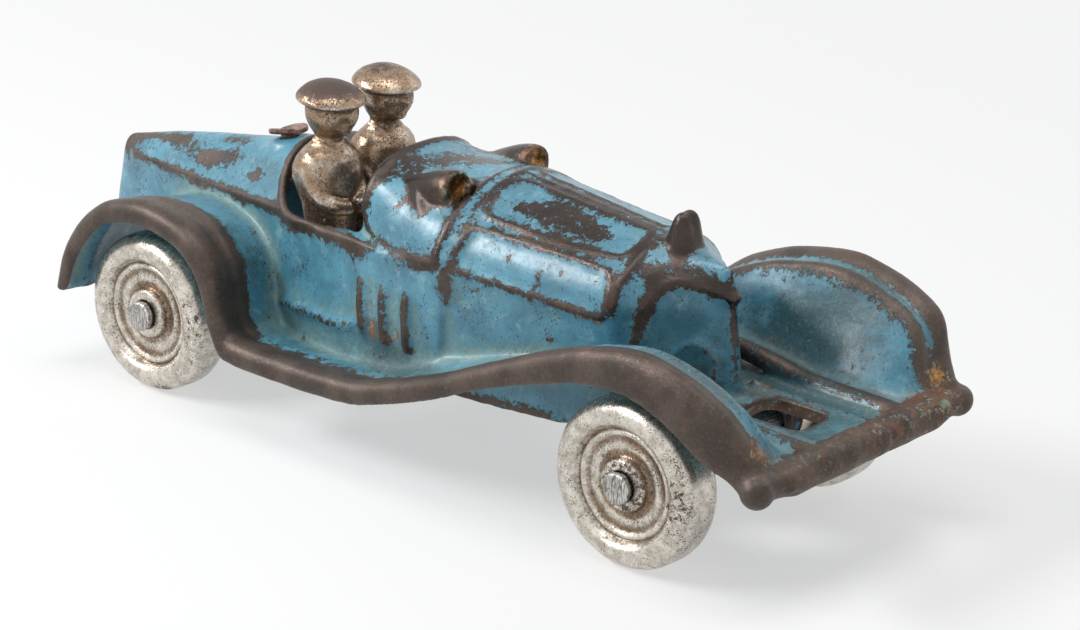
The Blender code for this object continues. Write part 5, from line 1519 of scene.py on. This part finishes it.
nickel = surface("speckled_nickel", old_nickel, NICKEL_WEAR, depth=0.06, values=(("Tarnish", 0.3),))
for end, axle_y in (("front", 0.0), ("rear", WHEELBASE)):
    for side, hand in ((-1, "right"), (1, "left")):
        name = f"{end}_{hand}_wheel"
        seed = 3.0 * side + axle_y
        # the plating is thinnest where the tyre rubbed: low in front, and a patch behind. The spot across the
        # front of the tyre is partly worn plating and partly painted shade under the wing.
        gone_and_shade = [((side * TYRE_FACE, axle_y - 12.5, 0.0), (5.0, 4.5, 10.0), 0.42),
                ((side * TYRE_FACE, axle_y - 4.0, -14.0), (4.0, 3.4, 1.8), 0.75 if end == "rear" else 0.3),
                ((side * TYRE_FACE, axle_y, 0.0), (4.0, 8.0, 8.0), 0.36 if end == "rear" else 0.64)]
        wheel_mesh = solid_mesh([wheel_form(side, axle_y, seed)])
        finished(f"{name}_disc", wheel_mesh, name, name, nickel, 4, gone_and_shade)


# The floor and the light of the picture: a pale table that fades into a white room, under wide soft lamps,
# with nothing else in sight.
def looked_at(w):
    """1 for a ray from the camera, also one that metal or glass has turned, and 0 for the rest."""
    path = w.node("LightPath").outputs
    straight = w.math("MAXIMUM", path["Is Camera Ray"], path["Is Transmission Ray"])
    return w.math("MAXIMUM", straight, path["Is Glossy Ray"])


floor_mesh = bpy.data.meshes.new("floor")
floor_mesh.from_pydata([(-3, -3, 0), (3, -3, 0), (3, 3, 0), (-3, 3, 0)], [], [(0, 1, 2, 3)])
floor = linked("floor", floor_mesh)
paper = bpy.data.materials.new("pale_floor")
paper.use_nodes = True
shader = paper.node_tree.nodes["Principled BSDF"]
shader.inputs["Base Color"].default_value = (0.86, 0.86, 0.86, 1)
shader.inputs["Roughness"].default_value = 0.9
shader.inputs["Specular IOR Level"].default_value = 0.0
floor_mesh.materials.append(paper)
w = Wiring(paper.node_tree)
bright = w.node("Emission")
veil = w.node("MixShader")
reach = w.node("VectorMath", operation="LENGTH")
w.join(w.node("TexCoord").outputs["Object"], reach.inputs[0])
# the table runs out into the white of the room, away from the toy and its shadow
away = w.step(reach.outputs["Value"], 0.14, 0.7, 0.55, 1.0)
w.join(w.math("MULTIPLY", looked_at(w), away), veil.inputs[0])
w.join(shader.outputs[0], veil.inputs[1])
w.join(bright.outputs[0], veil.inputs[2])
w.join(veil.outputs[0], paper.node_tree.nodes["Material Output"].inputs["Surface"])
floor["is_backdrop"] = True


def softbox(name, place, size, watts, target=(0, 0, 0.02)):
    """A wide soft lamp that faces the toy."""
    lamp = bpy.data.lights.new(name, "AREA")
    lamp.shape = "RECTANGLE"
    lamp.size, lamp.size_y = size
    lamp.energy = watts
    item = linked(name, lamp)
    item.location = place
    item.rotation_euler = (Vector(target) - Vector(place)).to_track_quat("-Z", "Y").to_euler()
    return item


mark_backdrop(softbox("window_left", (-0.42, 0.42, 0.5), (0.45, 0.12), 4.4),
         softbox("window_over_hood", (-0.05, -0.05, 0.6), (0.4, 0.14), 1.25),
         softbox("window_behind", (0.5, -0.1, 0.45), (0.4, 0.3), 0.4))

world = bpy.data.worlds.new("white_room")
bpy.context.scene.world = world
world.use_nodes = True
room = world.node_tree
w = Wiring(room)
ground = room.nodes["Background"]
ground.inputs["Color"].default_value = (0.9, 0.93, 0.97, 1)
ground.inputs["Strength"].default_value = 0.33
white = w.node("Background")
white.inputs["Color"].default_value = (1, 1, 1, 1)
white.inputs["Strength"].default_value = 1.0
blend = w.node("MixShader")
w.join(looked_at(w), blend.inputs[0])
w.join(ground.outputs[0], blend.inputs[1])
w.join(white.outputs[0], blend.inputs[2])
w.join(blend.outputs[0], room.nodes["World Output"].inputs["Surface"])

# The camera of the picture, fitted to the photograph: a long lens that looks at the toy from its right
# front and from a little above.
AZIMUTH, ELEVATION, TILT = -0.861542, 0.357207, 0.0254383
CAMERA_PLACE = (-0.414377, -0.373045, 0.229377)
camera_data = bpy.data.cameras.new("camera")
camera_data.lens = 113.333
camera_data.sensor_width = 36.0
camera_data.clip_start = 0.01
camera = linked("camera", camera_data)
back = Vector((sin(AZIMUTH) * cos(ELEVATION), -cos(AZIMUTH) * cos(ELEVATION), sin(ELEVATION)))
right = Vector((cos(AZIMUTH), sin(AZIMUTH), 0))
up = back.cross(right)
turned_right = right * cos(TILT) + up * sin(TILT)
turned_up = up * cos(TILT) - right * sin(TILT)
turned = Matrix((turned_right, turned_up, back)).transposed().to_4x4()
camera.matrix_world = Matrix.Translation(CAMERA_PLACE) @ turned
bpy.context.scene.camera = camera
bpy.context.scene.view_settings.view_transform = "Standard"

low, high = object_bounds()
